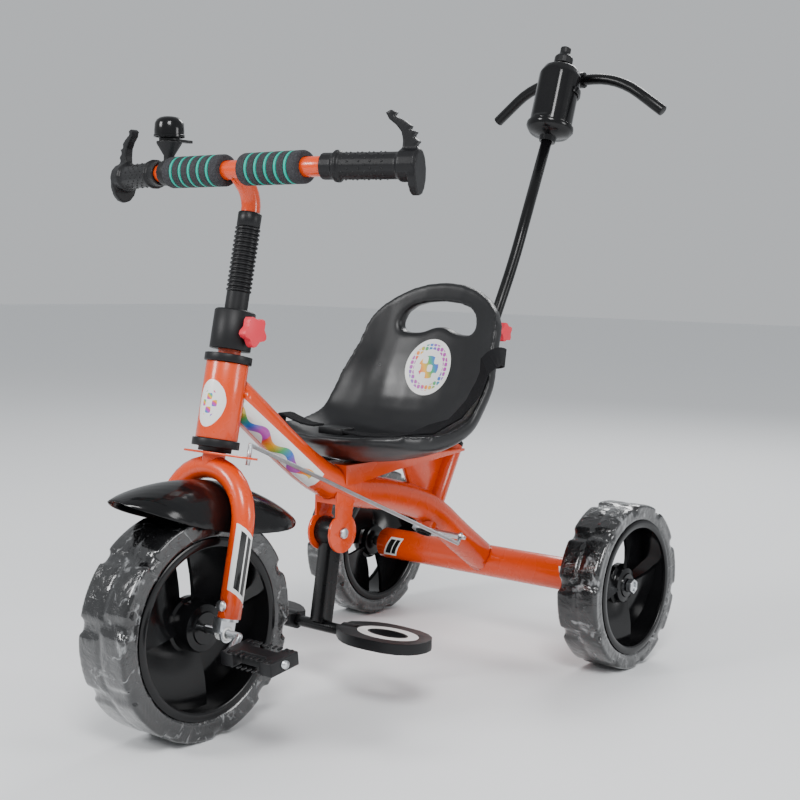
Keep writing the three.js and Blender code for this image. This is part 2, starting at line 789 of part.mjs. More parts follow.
function addFrontWheel() {
  const wheel = frameAt(tricycle, vector(0, 0, hubHeight));
  add(wheel, 'front_tyre', tyreGeometry(frontWheel), blackRubber);
  add(wheel, 'front_rim', rimGeometry(frontWheel, crankRodRadius, 1), glossPlastic);
  const back = crankReach * Math.cos(radians(crankAngle));
  const down = crankReach * Math.sin(radians(crankAngle));
  const end = pedalInner + pedalLength + 2;
  const shoulder = forkHalf + forkRadius + crankClearance + crankRodRadius;
  const left = [vector(shoulder, 0, 0), vector(shoulder, back, -down), vector(end, back, -down)];
  const right = left.map((point) => point.clone().negate()).reverse();
  add(wheel, 'crank_axle', barThrough([...right, ...left], crankRodRadius), zinc);
  for (const [side, name] of [[1, 'pedal_left'], [-1, 'pedal_right']]) {
    const middle = side * (pedalInner + pedalLength / 2);
    const pedal = pedalGeometry().rotateX(radians(pedalTilt)).translate(middle, side * back, -side * down);
    add(wheel, name, pedal, blackPlastic);
  }
}

function pedalGeometry() {
  const halfLength = pedalLength / 2;
  const halfWidth = pedalWidth / 2;
  const half = pedalThickness / 2;
  const body = block(-halfLength, halfLength, -halfWidth, halfWidth, -half, half);
  const bore = alongX(rod(crankRodRadius + play, -halfLength - 1, halfLength + 1));
  const slots = [-1, 1].map((side) => {
    const middle = side * (halfWidth + crankRodRadius + 4) / 2;
    return block(-halfLength + 18, halfLength - 18, middle - 7, middle + 7, -half - 1, half + 1);
  });
  return cut(body, bore, ...slots);
}

function addRearWheel(side, name) {
  const wheel = frameAt(tricycle, vector((side * rearTrack) / 2, wheelbase, rearWheel.radius));
  add(wheel, `rear_tyre_${name}`, tyreGeometry(rearWheel), blackRubber);
  add(wheel, `rear_rim_${name}`, rimGeometry(rearWheel, rearAxleRadius + gap, side), glossPlastic);
}

// ---------------------------------------------------------------- fork

function addFork() {
  const corners = [
    vector(forkHalf, 0, legEnd), vector(forkHalf, 0, crownHeight),
    vector(-forkHalf, 0, crownHeight), vector(-forkHalf, 0, legEnd),
  ];
  const path = new PipePath(corners, forkHalf, 8);
  const steererOuter = rod(steererRadius + gap, crownHeight, steererTop);
  const tube = bentPipe(path, forkRadius, forkRadius - forkWall, smallSides);
  const holes = [1, -1].map((side) => dropoutBolt(side, gap));
  add(steering, 'fork_tube', cut(tube, ...holes), orangePaint);
  const steerer = pipe(steererRadius, steererRadius - steererWall, crownHeight, steererTop);
  const crown = bentPipe(path, forkRadius + gap, 0, smallSides);
  const below = block(-forkHalf, forkHalf, -forkHalf, forkHalf, 0, crownHeight);
  const lower = steererOuter.translate(0, 0, -steererTop);
  add(steering, 'steerer_tube', cut(steerer, crown, below, lower), orangePaint);
}

// The zinc fitting that carries the axle: a plug up in the leg, an ear beside the hub and a flange.
function dropoutGeometry() {
  const half = dropoutWidth / 2;
  const inner = forkHalf - dropoutThickness / 2;
  const bottom = legEnd - gap;
  const ear = new THREE.Shape();
  ear.moveTo(-half, bottom);
  ear.lineTo(-half, 0);
  ear.absarc(0, 0, half, Math.PI, 2 * Math.PI, false);
  ear.lineTo(half, bottom);
  ear.holes.push(new THREE.Path(polygon(bushNeckRadius + gap, smallSides)));
  const plug = rod(forkRadius - forkWall - gap, bottom - dropoutThickness, legEnd + dropoutInset);
  return cut(join(
    standing(ear, inner, dropoutThickness),
    block(inner - 9, inner + dropoutThickness, -half - dropoutThickness + 1, -half + 1, 0, bottom),
    plug.translate(forkHalf, 0, 0),
  ), dropoutBolt(1, gap));
}

// A nylon bush with a thick outer end, from the side of the ear outwards.
function bushGeometry() {
  const bore = crankRodRadius + play;
  const neck = dropoutThickness + 2 * gap;
  const bush = turned(closed(profile(
    [bore, 0], [bushNeckRadius, 0], [bushNeckRadius, neck], [bushRadius, neck],
    [bushRadius, neck + bushLength], [bore, neck + bushLength],
  )), smallSides);
  return alongX(bush).scale(-1, 1, 1).translate(forkHalf + dropoutThickness / 2 + gap, 0, 0);
}

function addDropouts() {
  for (const [side, name] of [[1, 'left'], [-1, 'right']]) {
    const placed = (geometry) => (side > 0 ? geometry : mirror(geometry));
    add(steering, `dropout_${name}`, placed(dropoutGeometry()), zinc);
    add(steering, `dropout_bolt_${name}`, placed(dropoutBolt(1, 0)), zinc);
    add(steering, `bush_${name}`, placed(bushGeometry()), whiteNylon);
  }
}

// The same geometry on the other side of the tricycle.
function mirror(geometry) {
  return geometry.clone().scale(-1, 1, 1);
}

// A dome-headed bolt from the front through the leg and the tongue inside it.
function dropoutBolt(side, clearance) {
  const height = legEnd + dropoutInset - 9;
  const head = forkRadius + gap;
  const shank = 2.5 + clearance;
  const outline = [
    [0, -head - 4], [shank, -head - 4], [shank, head], [domeBoltRadius, head],
    [domeBoltRadius * 0.8, head + 4], [0, head + 6],
  ];
  const bolt = turned(profile(...outline), smallSides).rotateX(Math.PI / 2);
  return bolt.translate(side * forkHalf, 0, height);
}

function addSteeringArm() {
  const top = headBottom - gap - cupHeight - 5 - 2 * gap;
  const shape = new THREE.Shape();
  shape.absarc(forkArmLength, 0, 10, -Math.PI / 2, Math.PI / 2, false);
  shape.lineTo(12, 21);
  shape.lineTo(-12, 21);
  shape.absarc(-38, 0, 8, Math.PI / 2, 1.5 * Math.PI, false);
  shape.lineTo(-12, -21);
  shape.lineTo(12, -21);
  const steererHole = polygon(steererRadius + gap, roundSides);
  const pin = polygon(rodRadius + armHoleClearance, smallSides);
  shape.holes.push(new THREE.Path(steererHole));
  shape.holes.push(new THREE.Path(pin.map((point) => point.add(new THREE.Vector2(forkArmLength, 0)))));
  const arm = plate(shape, armThickness, 5).translate(0, 0, top - armThickness);
  add(steering, 'steering_arm', arm, orangePaint);
}

function addClampCollar() {
  const top = collarBottom + collarHeight;
  const outline = [
    [steererRadius + gap, collarBottom], [collarRadius, collarBottom], [collarRadius, top - 2],
    [collarRadius - 2, top], [stemRadius + play, top], [stemRadius + play, steererTop + gap],
    [steererRadius + gap, steererTop + gap],
  ];
  const screw = alongX(rod(knobScrewRadius + gap, 0, collarRadius + 5));
  screw.translate(0, 0, collarBottom + collarHeight / 2);
  add(steering, 'clamp_collar', cut(turned(closed(profile(...outline))), screw), blackPlastic);
}

// A star knob on a screw that points along -X; the seat of the knob is at x = 0.
function knobGeometry(radius, screwLength) {
  const lobes = 6 * knobLobes;
  const outline = [];
  for (let i = 0; i < lobes; i += 1) {
    const angle = (i * 2 * Math.PI) / lobes;
    const reach = radius * (0.86 + 0.14 * Math.cos(knobLobes * angle));
    outline.push(new THREE.Vector2(reach * Math.cos(angle), reach * Math.sin(angle)));
  }
  const star = plate(new THREE.Shape(outline), knobThickness - 3).translate(0, 0, 3);
  const neck = rod(radius * 0.5, 0, 3.5);
  const screw = rod(knobScrewRadius, -screwLength, 0.5);
  return alongX(join(star, neck, screw));
}

function addStemKnob() {
  const reach = collarRadius + 1;
  const knob = knobGeometry(knobRadius, reach - steererRadius - gap - 1);
  add(steering, 'stem_knob', knob.translate(reach, 0, collarBottom + collarHeight / 2), redPlastic);
}

// The mudguard: an arch over the tyre, symmetric about the steering axis, narrowing to its two bills.
function guardPoint(share, across, depth) {
  const back = guardReach * share;
  const archTop = crownHeight - forkRadius - 1.2;
  const top = archTop - (archTop - guardTipHeight - 3) * share ** 2 - depth;
  const skirt = guardSkirt + (guardTipHeight - guardSkirt) * share ** 2;
  const rounding = Math.max(0, Math.abs(share) - guardRoundStart) / (1 - guardRoundStart);
  const half = (guardHalfWidth - depth) * (1 - 0.72 * rounding ** 2.2);
  const angle = (Math.PI / 2) * across;
  return vector(half * Math.sin(angle), back + guardShift, skirt + (top - skirt) * Math.cos(angle) ** 0.9);
}

function addMudguard() {
  const rows = 14;
  const columns = 10;
  const positions = [];
  for (const depth of [0, guardThickness]) {
    for (let i = 0; i <= rows; i += 1) {
      for (let j = 0; j <= columns; j += 1) {
        const point = guardPoint((2 * i) / rows - 1, (2 * j) / columns - 1, depth);
        positions.push(point.x, point.y, point.z);
      }
    }
  }
  add(steering, 'mudguard', gridSkin(positions, rows, columns), glossPlastic);
}

// ---------------------------------------------------------------- handlebar

const barFrame = frameAt(steering, vector(0, -stemForward, stemBend + stemRise), -headAngle);
const sweepAngle = Math.atan2(barSweep, barHalf - barStraightHalf);
const gripEnd = Math.hypot(barSweep, barHalf - barStraightHalf);

function barPath(inset) {
  const reach = gripEnd - inset;
  const x = barStraightHalf + reach * Math.cos(sweepAngle);
  const y = reach * Math.sin(sweepAngle);
  const bend = barStraightHalf;
  const corners = [vector(-x, y, 0), vector(-bend, 0, 0), vector(bend, 0, 0), vector(x, y, 0)];
  return new PipePath(corners, 60, 3);
}

function addHandlebar() {
  const inset = guardPlateThickness + 1;
  const bar = bentPipe(barPath(inset), barRadius, barRadius - barWall);
  add(barFrame, 'handlebar_tube', bar, orangePaint);
  const stemEnd = vector(0, -stemForward, stemBend + stemRise);
  const stemPath = new PipePath([vector(0, 0, stemBottom), vector(0, 0, stemBend), stemEnd], 35, 5);
  const envelope = carried(bentPipe(barPath(inset), barRadius + gap, 0), barFrame, steering);
  const stem = bentPipe(stemPath, stemRadius, stemRadius - stemWall);
  add(steering, 'stem_tube', cut(stem, envelope), orangePaint);
  const coverBottom = collarBottom + collarHeight + gap;
  const cover = [
    [stemRadius + gap, coverBottom], [stemRadius + 2, coverBottom], [stemRadius + 2, coverBottom + 21],
    [stemCoverRadius, coverBottom + 22], [stemCoverRadius, stemCoverTop - 14],
    [stemRadius + 2.3, stemCoverTop - 13], [stemRadius + 2.3, stemCoverTop],
    [stemRadius + gap, stemCoverTop],
  ];
  add(steering, 'stem_cover', turned(closed(profile(...cover))), blackPlastic);
}

function addFoams() {
  for (const [side, name] of [[1, 'foam_left'], [-1, 'foam_right']]) {
    const sleeve = alongX(pipe(foamRadius, barRadius + gap, foamInner, foamOuter));
    if (side < 0) sleeve.rotateZ(Math.PI);
    add(barFrame, name, sleeve, foamRubber);
  }
}

// A grip on the left end of the bar, its axis along X from the bend: a sleeve with two collars,
// an egg-shaped end plate and an upright hand guard with three finger lobes.
function gripGeometry() {
  const boreEnd = gripEnd - guardPlateThickness;
  const sleeve = [
    [barRadius + gap, gripStart], [gripRadius, gripStart], [gripRadius, gripStart + 14],
    [gripRadius + gripWall, gripStart + 16], [gripRadius + gripWall, gripStart + 20],
    [gripRadius, gripStart + 22], [gripRadius, gripEnd - 24], [gripRadius + gripWall, gripEnd - 21],
    [gripRadius + gripWall, gripEnd - 2], [0, gripEnd - 2], [0, boreEnd], [barRadius + gap, boreEnd],
  ];
  const end = new THREE.Shape();
  end.absellipse(7, 0, 24, 16, 0, 2 * Math.PI, false, 0);
  const endPlate = plate(end, guardPlateThickness, 7).translate(0, 0, gripEnd - guardPlateThickness);
  // Points of the guard are (beyond the end of the grip, above its axis).
  const guard = new THREE.Shape(profile(
    [-20, 10], [-19, 25], [-21, 34], [-27, 41], [-35, 47], [-39, 54], [-33, 57], [-27, 54], [-31, 51],
    [-19, 46], [-10, 40], [-13, 36], [-4, 34], [-8, 29], [-1, 24], [-5, 20], [0, 15], [0, 10],
  ));
  const standingGuard = plate(guard, guardWidth).rotateX(Math.PI / 2).translate(gripEnd, guardWidth / 2, 0);
  const bore = alongX(rod(barRadius + gap, 0, boreEnd, tubeSides));
  const body = alongX(turned(closed(profile(...sleeve)), tubeSides));
  return cut(join(body, alongX(endPlate), standingGuard), bore);
}

function addGrips() {
  for (const [side, name] of [[1, 'grip_left'], [-1, 'grip_right']]) {
    const grip = gripGeometry().rotateZ(sweepAngle).translate(barStraightHalf, 0, 0);
    add(barFrame, name, side > 0 ? grip : mirror(grip), blackPlastic);
  }
}

function addBell() {
  const bell = frameAt(barFrame, vector(-bellOffset, 1, 0));
  const clampBore = alongX(rod(barRadius + 1.4, -12, 12, tubeSides));
  const clamp = alongX(rod(barRadius + 4, -6, 6, tubeSides));
  const stand = turned(profile(
    [0, barRadius + 2], [6.4, barRadius + 2], [6.4, 20], [15, bellStandHeight], [15, bellStandHeight + 2],
    [6, bellStandHeight + 2], [6, bellStandHeight + 6.6],
    [bellRadius - bellWall - 3, bellStandHeight + 6.6],
    [bellRadius - bellWall - 3, bellStandHeight + bellHeight - 6], [0, bellStandHeight + bellHeight - 3],
  ), tubeSides);
  add(bell, 'bell_stand', cut(join(clamp, stand), clampBore), blackPlastic);
  const bottom = bellStandHeight + 7;
  const top = bottom + bellHeight;
  const inner = bellRadius - bellWall;
  const dome = [
    [0, top], [bellRadius * 0.6, top - 2], [bellRadius * 0.92, top - 8], [bellRadius, bottom],
    [inner, bottom], [inner * 0.92, top - 9], [inner * 0.6, top - 2 - bellWall], [0, top - bellWall],
  ];
  add(bell, 'bell_dome', turned(profile(...dome)), glossPlastic);
  const lever = new THREE.Shape();
  lever.absarc(0, 0, 12, radians(120), radians(420), false);
  lever.lineTo(4, 26);
  lever.absarc(0, 30, 5, radians(-20), radians(200), false);
  const post = new THREE.Path(polygon(6 + play, smallSides));
  lever.holes.push(post);
  const tab = plate(lever, 3, 5).translate(0, 0, bellStandHeight + 2.8);
  add(bell, 'bell_lever', tab, blackPlastic);
}

// ---------------------------------------------------------------- footrest

function addFootrest() {
  const pivot = frameAt(tricycle, vector(0, footPivot.behind, footPivot.height), footLean);
  const half = footStem / 2;
  const headHalf = clevisHalfGap - play;
  const head = alongX(rod(footHeadRadius, -headHalf, headHalf, roundSides));
  const stem = block(-half, half, -half, half, -footDrop + footBarRadius - 2, 0);
  const barEnd = footBarHalf + 1;
  const bar = alongX(rod(footBarRadius + gap, -barEnd, barEnd)).translate(0, 0, -footDrop);
  const bore = alongX(rod(footBoltRadius + play, -headHalf - 1, headHalf + 1));
  add(pivot, 'footrest_stem', cut(join(head, stem), bar, bore), blackPaint);
  const foot = frameAt(pivot, vector(0, 0, -footDrop), -footLean);
  add(foot, 'footrest_bar', alongX(rod(footBarRadius, -footBarHalf, footBarHalf)), blackPaint);
  for (const [side, name] of [[1, 'footpad_left'], [-1, 'footpad_right']]) {
    const pad = footpadGeometry();
    add(foot, name, side > 0 ? pad : mirror(pad), blackPlastic);
  }
}

// A drop-shaped pad that widens outwards, with an oval hole, on a boss round the end of the bar.
function footpadGeometry() {
  const end = padStart + padLength;
  const half = padWidth / 2;
  const shape = new THREE.Shape();
  shape.moveTo(padStart, -14);
  shape.bezierCurveTo(padStart + 25, -half, padStart + 40, -half, padStart + 66, -half);
  shape.bezierCurveTo(end - 16, -half, end, -half * 0.55, end, 0);
  shape.bezierCurveTo(end, half * 0.55, end - 16, half, padStart + 66, half);
  shape.bezierCurveTo(padStart + 40, half, padStart + 25, half, padStart, 14);
  const hole = new THREE.Path();
  const middle = padStart + padHole.start + padHole.length / 2 - 20;
  hole.absellipse(middle, 0, padHole.length / 2, padHole.width / 2, 0, 2 * Math.PI, false, 0);
  shape.holes.push(hole);
  const pad = plate(shape, padThickness, 5).translate(0, 0, -padThickness / 2 + 3);
  const boss = alongX(rod(footBarRadius + 4, padStart, footBarHalf + 8));
  const socket = alongX(rod(footBarRadius + gap, padStart - 1, footBarHalf + gap));
  return cut(join(pad, boss), socket);
}

// ---------------------------------------------------------------- push handle

const rodRadius = 2.5;
const crankArmLength = (forkArmLength * Math.cos(radians(headAngle))) / Math.cos(radians(pushAngle));
const crankPlateTop = sleeveBottom - 2 * play;

function addPushShaft() {
  const inner = shaftRadius - shaftWall;
  const bottom = crankPlateTop - crankPlateThickness - 3;
  const shoulder = sleeveTop + 2 * play;
  const collar = shaftTop - shaftCollarHeight;
  const outline = [
    [inner, bottom], [shaftRadius, bottom], [shaftRadius, shoulder], [shaftRadius + 3, shoulder],
    [shaftRadius + 3, shoulder + 5], [shaftRadius, shoulder + 5], [shaftRadius, collar],
    [shaftCollarRadius, collar], [shaftCollarRadius, shaftTop], [inner, shaftTop],
  ];
  const screw = alongX(rod(knobScrewRadius + gap, 0, shaftCollarRadius + 5));
  screw.translate(0, 0, shaftTop - shaftCollarHeight / 2);
  add(pushing, 'push_shaft', cut(turned(closed(profile(...outline))), screw), blackPaint);
  const arm = new THREE.Shape();
  arm.absarc(0, 0, 17, radians(60), radians(300), false);
  arm.absarc(crankArmLength, 0, 8, -Math.PI / 2, Math.PI / 2, false);
  const toPin = new THREE.Vector2(crankArmLength, 0);
  const pin = polygon(rodRadius + gap, smallSides).map((point) => point.add(toPin));
  arm.holes.push(new THREE.Path(polygon(shaftRadius + gap, roundSides)), new THREE.Path(pin));
  const crank = plate(arm, crankPlateThickness, 5).translate(0, 0, crankPlateTop - crankPlateThickness);
  add(pushing, 'crank_plate', crank, zinc);
}

function addPushKnob() {
  const reach = shaftCollarRadius + 1;
  const knob = knobGeometry(pushKnobRadius, reach - pushTubeRadius - gap - 1);
  add(pushing, 'push_knob', knob.translate(reach, 0, shaftTop - shaftCollarHeight / 2), redPlastic);
}

// The rod from the steering arm to the crank plate: its front leg hangs down through the arm,
// its rear leg stands up through the plate.
function addSteeringRod() {
  const armTop = headBottom - 2 * gap - cupHeight - 5 - gap;
  const crankMiddle = crankPlateTop - crankPlateThickness / 2;
  const front = (up) => onSteering(forkArmLength, 0, armTop + up);
  const rear = (up) => vector(crankArmLength, 0, crankMiddle + up).applyMatrix4(pushing.matrixWorld);
  const stations = [front(-9), front(13.5), rear(-10), rear(5)];
  add(tricycle, 'steering_rod', barThrough(stations, rodRadius, 8), zinc);
}

function addPushHandle() {
  const lean = radians(pushAngle - pushTubeTopAngle);
  const straightEnd = vector(0, 0, pushTubeStraight);
  const reach = pushTubeTop - pushTubeStraight;
  const topPoint = vector(0, -reach * Math.sin(lean), reach * Math.cos(lean)).add(straightEnd);
  const path = new PipePath([vector(0, 0, pushTubeBottom), straightEnd, topPoint], 900, 6);
  const tube = bentPipe(path, pushTubeRadius, pushTubeRadius - pushTubeWall, smallSides);
  add(pushing, 'push_tube', tube, blackPaint);

  const handle = frameAt(pushing, topPoint, handleAngle - pushAngle);
  const envelope = carried(bentPipe(path, pushTubeRadius + gap, 0, smallSides), pushing, handle);
  addBottleHolder(handle, envelope);
  addCrossbar(handle);
  addBottle(handle);
}

// A cup on the end of the tube, a spine behind the bottle, an open ring round its middle and
// a boss that the crossbar goes through.
function addBottleHolder(handle, tubeEnvelope) {
  const socketDepth = 14;
  const floor = 4;
  const inner = bottleRadius + play;
  const outer = inner + holderWall;
  const cup = turned(profile(
    [0, -socketDepth], [pushTubeRadius + 4, -socketDepth], [pushTubeRadius + 5, -6],
    [outer - 6, -2], [outer, 6], [outer, holderCupHeight], [inner, holderCupHeight],
    [inner, floor + 4], [inner - 8, floor], [0, floor],
  ), roundSides);
  const ring = pipe(outer, inner, holderRingHeight, holderRingHeight + holderRingWidth);
  const ringTop = holderRingHeight + holderRingWidth;
  const ringGap = block(-outer, outer, -outer - 1, -6, holderRingHeight - 1, ringTop + 1);
  const spine = block(-8, 8, inner + 0.2, outer + 1, 4, crossbarHeight);
  const boss = alongX(rod(crossbarRadius + 4, -14, 14)).translate(0, crossbarBehind, crossbarHeight);
  const bore = alongX(rod(crossbarRadius + gap, -20, 20)).translate(0, crossbarBehind, crossbarHeight);
  const room = rod(inner, floor + 4, crossbarHeight + 40, roundSides);
  const openRing = cut(ring, ringGap);
  const whole = join(cup, openRing, spine, boss);
  add(handle, 'bottle_holder', cut(whole, bore, room, tubeEnvelope), glossPlastic);
}

function addCrossbar(handle) {
  const corners = [
    vector(-crossbarHalf, crossbarSweep, -crossbarDrop), vector(-crossbarHalf * 0.5, 0, 0),
    vector(crossbarHalf * 0.5, 0, 0), vector(crossbarHalf, crossbarSweep, -crossbarDrop),
  ];
  const path = new PipePath(corners, 130, 6);
  const bar = bentPipe(path, crossbarRadius, 0, smallSides);
  add(handle, 'push_crossbar', bar.translate(0, crossbarBehind, crossbarHeight), blackPaint);
}

function addBottle(handle) {
  const foot = 4 + gap;
  const top = foot + bottleLength;
  const body = turned(profile(
    [0, foot], [bottleRadius - 9, foot], [bottleRadius, foot + 7], [bottleRadius, top - 18],
    [bottleRadius * 0.8, top - 6], [bottleCapRadius - 3, top], [bottleCapRadius - 3, top + 8], [0, top + 8],
  ), roundSides);
  const front = -bottleRadius;
  const face = block(front, bottleRadius, front - 1, front + 3.5, foot + 14, top - 4);
  add(handle, 'bottle', cut(body, face), glossPlastic);
  const cap = turned(closed(profile(
    [bottleCapRadius - 3 + gap, top + gap], [bottleCapRadius, top + gap],
    [bottleCapRadius, top + bottleCapHeight - 16],
    [8, top + bottleCapHeight - 10], [8, top + bottleCapHeight], [0.001, top + bottleCapHeight],
    [0.001, top + 9], [bottleCapRadius - 3 + gap, top + 9],
  )), tubeSides);
  add(handle, 'bottle_cap', cap, blackPlastic);
}

// ---------------------------------------------------------------- the whole tricycle

addHeadTube();
addMainTube();
addRearAxle();
addPushSleeve();
addSeatBracket();
addFootrestClevis();
addSeat();
addBelt();
addFrontWheel();
addRearWheel(1, 'left');
addRearWheel(-1, 'right');
addFork();
addDropouts();
addSteeringArm();
addClampCollar();
addStemKnob();
addMudguard();
addHandlebar();
addFoams();
addGrips();
addBell();
addFootrest();
addPushShaft();
addPushKnob();
addSteeringRod();
addPushHandle();

// The origin is on the ground under the middle of the tricycle.
const footprint = new THREE.Box3().setFromObject(tricycle, true);
tricycle.position.y = -(footprint.min.y + footprint.max.y) / 2;

export default tricycle;
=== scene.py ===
"""Looks of a children's tricycle with a parent push handle, laid out as an add-on and run as a script."""

import json
import math

import bpy
from mathutils import Matrix, Vector

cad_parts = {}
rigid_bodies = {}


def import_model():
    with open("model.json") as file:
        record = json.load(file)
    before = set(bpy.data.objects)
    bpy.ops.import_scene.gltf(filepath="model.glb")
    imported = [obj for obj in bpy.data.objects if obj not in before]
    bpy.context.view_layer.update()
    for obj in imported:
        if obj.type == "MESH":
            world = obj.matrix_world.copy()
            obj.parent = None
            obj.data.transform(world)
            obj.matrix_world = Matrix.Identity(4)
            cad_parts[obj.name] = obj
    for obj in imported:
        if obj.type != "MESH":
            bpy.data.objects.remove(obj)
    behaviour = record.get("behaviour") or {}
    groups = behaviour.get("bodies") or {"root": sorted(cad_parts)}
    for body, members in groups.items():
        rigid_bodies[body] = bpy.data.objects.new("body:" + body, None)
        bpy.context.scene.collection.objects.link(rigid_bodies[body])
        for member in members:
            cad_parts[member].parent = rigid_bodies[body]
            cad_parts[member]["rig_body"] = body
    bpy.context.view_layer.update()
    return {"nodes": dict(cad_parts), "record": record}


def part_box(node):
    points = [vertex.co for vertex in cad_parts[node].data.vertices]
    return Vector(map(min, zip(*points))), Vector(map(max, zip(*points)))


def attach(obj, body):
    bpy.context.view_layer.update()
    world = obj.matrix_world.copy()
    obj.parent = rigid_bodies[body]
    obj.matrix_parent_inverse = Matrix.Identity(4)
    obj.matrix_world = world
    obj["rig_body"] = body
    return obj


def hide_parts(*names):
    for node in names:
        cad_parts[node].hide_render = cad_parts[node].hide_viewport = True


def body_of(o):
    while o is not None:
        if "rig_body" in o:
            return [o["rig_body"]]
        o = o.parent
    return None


bl_info = {
    "name": "Tricycle Workshop",
    "version": (1, 0, 0),
    "blender": (4, 5, 0),
    "location": "3D View > Sidebar > Tricycle",
    "description": "Builds the finished looks of a children's tricycle round its CAD parts",
    "category": "Object",
}

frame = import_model()
NODES = frame["nodes"]
SLOTS = {part["node"]: part["material_slot"] for part in frame["record"]["subparts"]}
MM = 0.001

X_AXIS = Vector((1, 0, 0))


def joint(name):
    """The joint of that name, as the record gives it."""
    return next(j for j in frame["record"]["behaviour"]["joints"] if j["name"] == name)


STEER_FOOT = Vector(joint("steer")["pos_m"])
STEER_AXIS = Vector(joint("steer")["axis"])
STEER_BACK = STEER_AXIS.cross(X_AXIS).normalized() * -1
PUSH_FOOT = Vector(joint("push_steer")["pos_m"])
PUSH_AXIS = Vector(joint("push_steer")["axis"])
BACK_SLOPE = math.tan(math.radians(11))  # lean of the steering axis
DISCS = {  # half width and radius of the barrel, radius and reach of the hub, bore; in millimetres
    "front": {"half": 36, "rim": 98, "hub_radius": 31, "reach": 29, "bore": 5.2},
    "rear": {"half": 29, "rim": 86, "hub_radius": 27, "reach": 15, "bore": 7.2},
}
HUBS = {
    "front": STEER_FOOT,
    "left": Vector(joint("rear_left_spin")["pos_m"]),
    "right": Vector(joint("rear_right_spin")["pos_m"]),
}


def box(node):
    """Lowest and highest corner of a CAD node, as vectors."""
    low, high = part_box(node)
    return Vector(low), Vector(high)


# ---------------------------------------------------------------- settings


class TricycleColours(bpy.types.PropertyGroup):
    """Colours of the paint, plastics and trim."""

    paint: bpy.props.FloatVectorProperty(
        name="Frame paint",
        description="Powder coat of the frame",
        subtype="COLOR",
        default=(0.7, 0.055, 0.0),
    )
    plastic: bpy.props.FloatVectorProperty(
        name="Plastic",
        description="Moulded seat, grips and pads",
        subtype="COLOR",
        default=(0.006, 0.006, 0.007),
    )
    knobs: bpy.props.FloatVectorProperty(
        name="Knobs", description="Clamp knobs", subtype="COLOR", default=(0.72, 0.035, 0.06)
    )
    rings: bpy.props.FloatVectorProperty(
        name="Foam rings",
        description="Rings in the grooves of the foams",
        subtype="COLOR",
        default=(0.0, 0.36, 0.27),
    )


class TricycleSizes(bpy.types.PropertyGroup):
    """Counts and sizes of what is modelled here."""

    lugs: bpy.props.IntProperty(
        name="Lugs", description="Lugs round a tyre, on each side", default=10, min=6
    )
    lug_height: bpy.props.FloatProperty(
        name="Lug height", description="Height of a tyre lug", default=2.8 * MM, unit="LENGTH"
    )
    blades: bpy.props.IntProperty(name="Blades", description="Blades of a wheel disc", default=4, min=3)
    ribs: bpy.props.IntProperty(
        name="Ribs", description="Ribs of the bellows on the stem", default=15, min=4
    )
    foam_rings: bpy.props.IntProperty(name="Foam rings", description="Rings on one foam", default=5, min=1)


# ---------------------------------------------------------------- shaders


class Socket:
    """An output socket or a number, with arithmetic that adds Math nodes."""

    def __init__(self, finish, value):
        self.finish = finish
        self.value = value

    def _math(self, operation, a, b=None):
        values = {0: a, 1: b} if b is not None else {0: a}
        return self.finish.node("ShaderNodeMath", {"operation": operation}, values)[0]

    def __add__(self, other):
        return self._math("ADD", self, other)

    def __sub__(self, other):
        return self._math("SUBTRACT", self, other)

    def __mul__(self, other):
        return self._math("MULTIPLY", self, other)

    def __truediv__(self, other):
        return self._math("DIVIDE", self, other)

    def __rsub__(self, other):
        return self._math("SUBTRACT", other, self)

    __radd__ = __add__
    __rmul__ = __mul__

    def __lt__(self, other):
        return self._math("LESS_THAN", self, other)

    def __gt__(self, other):
        return self._math("GREATER_THAN", self, other)

    def abs(self):
        """Absolute value."""
        return self._math("ABSOLUTE", self)

    def sine(self):
        """Sine, of radians."""
        return self._math("SINE", self)

    def fraction(self):
        """What is left over a whole number."""
        return self._math("FRACT", self)


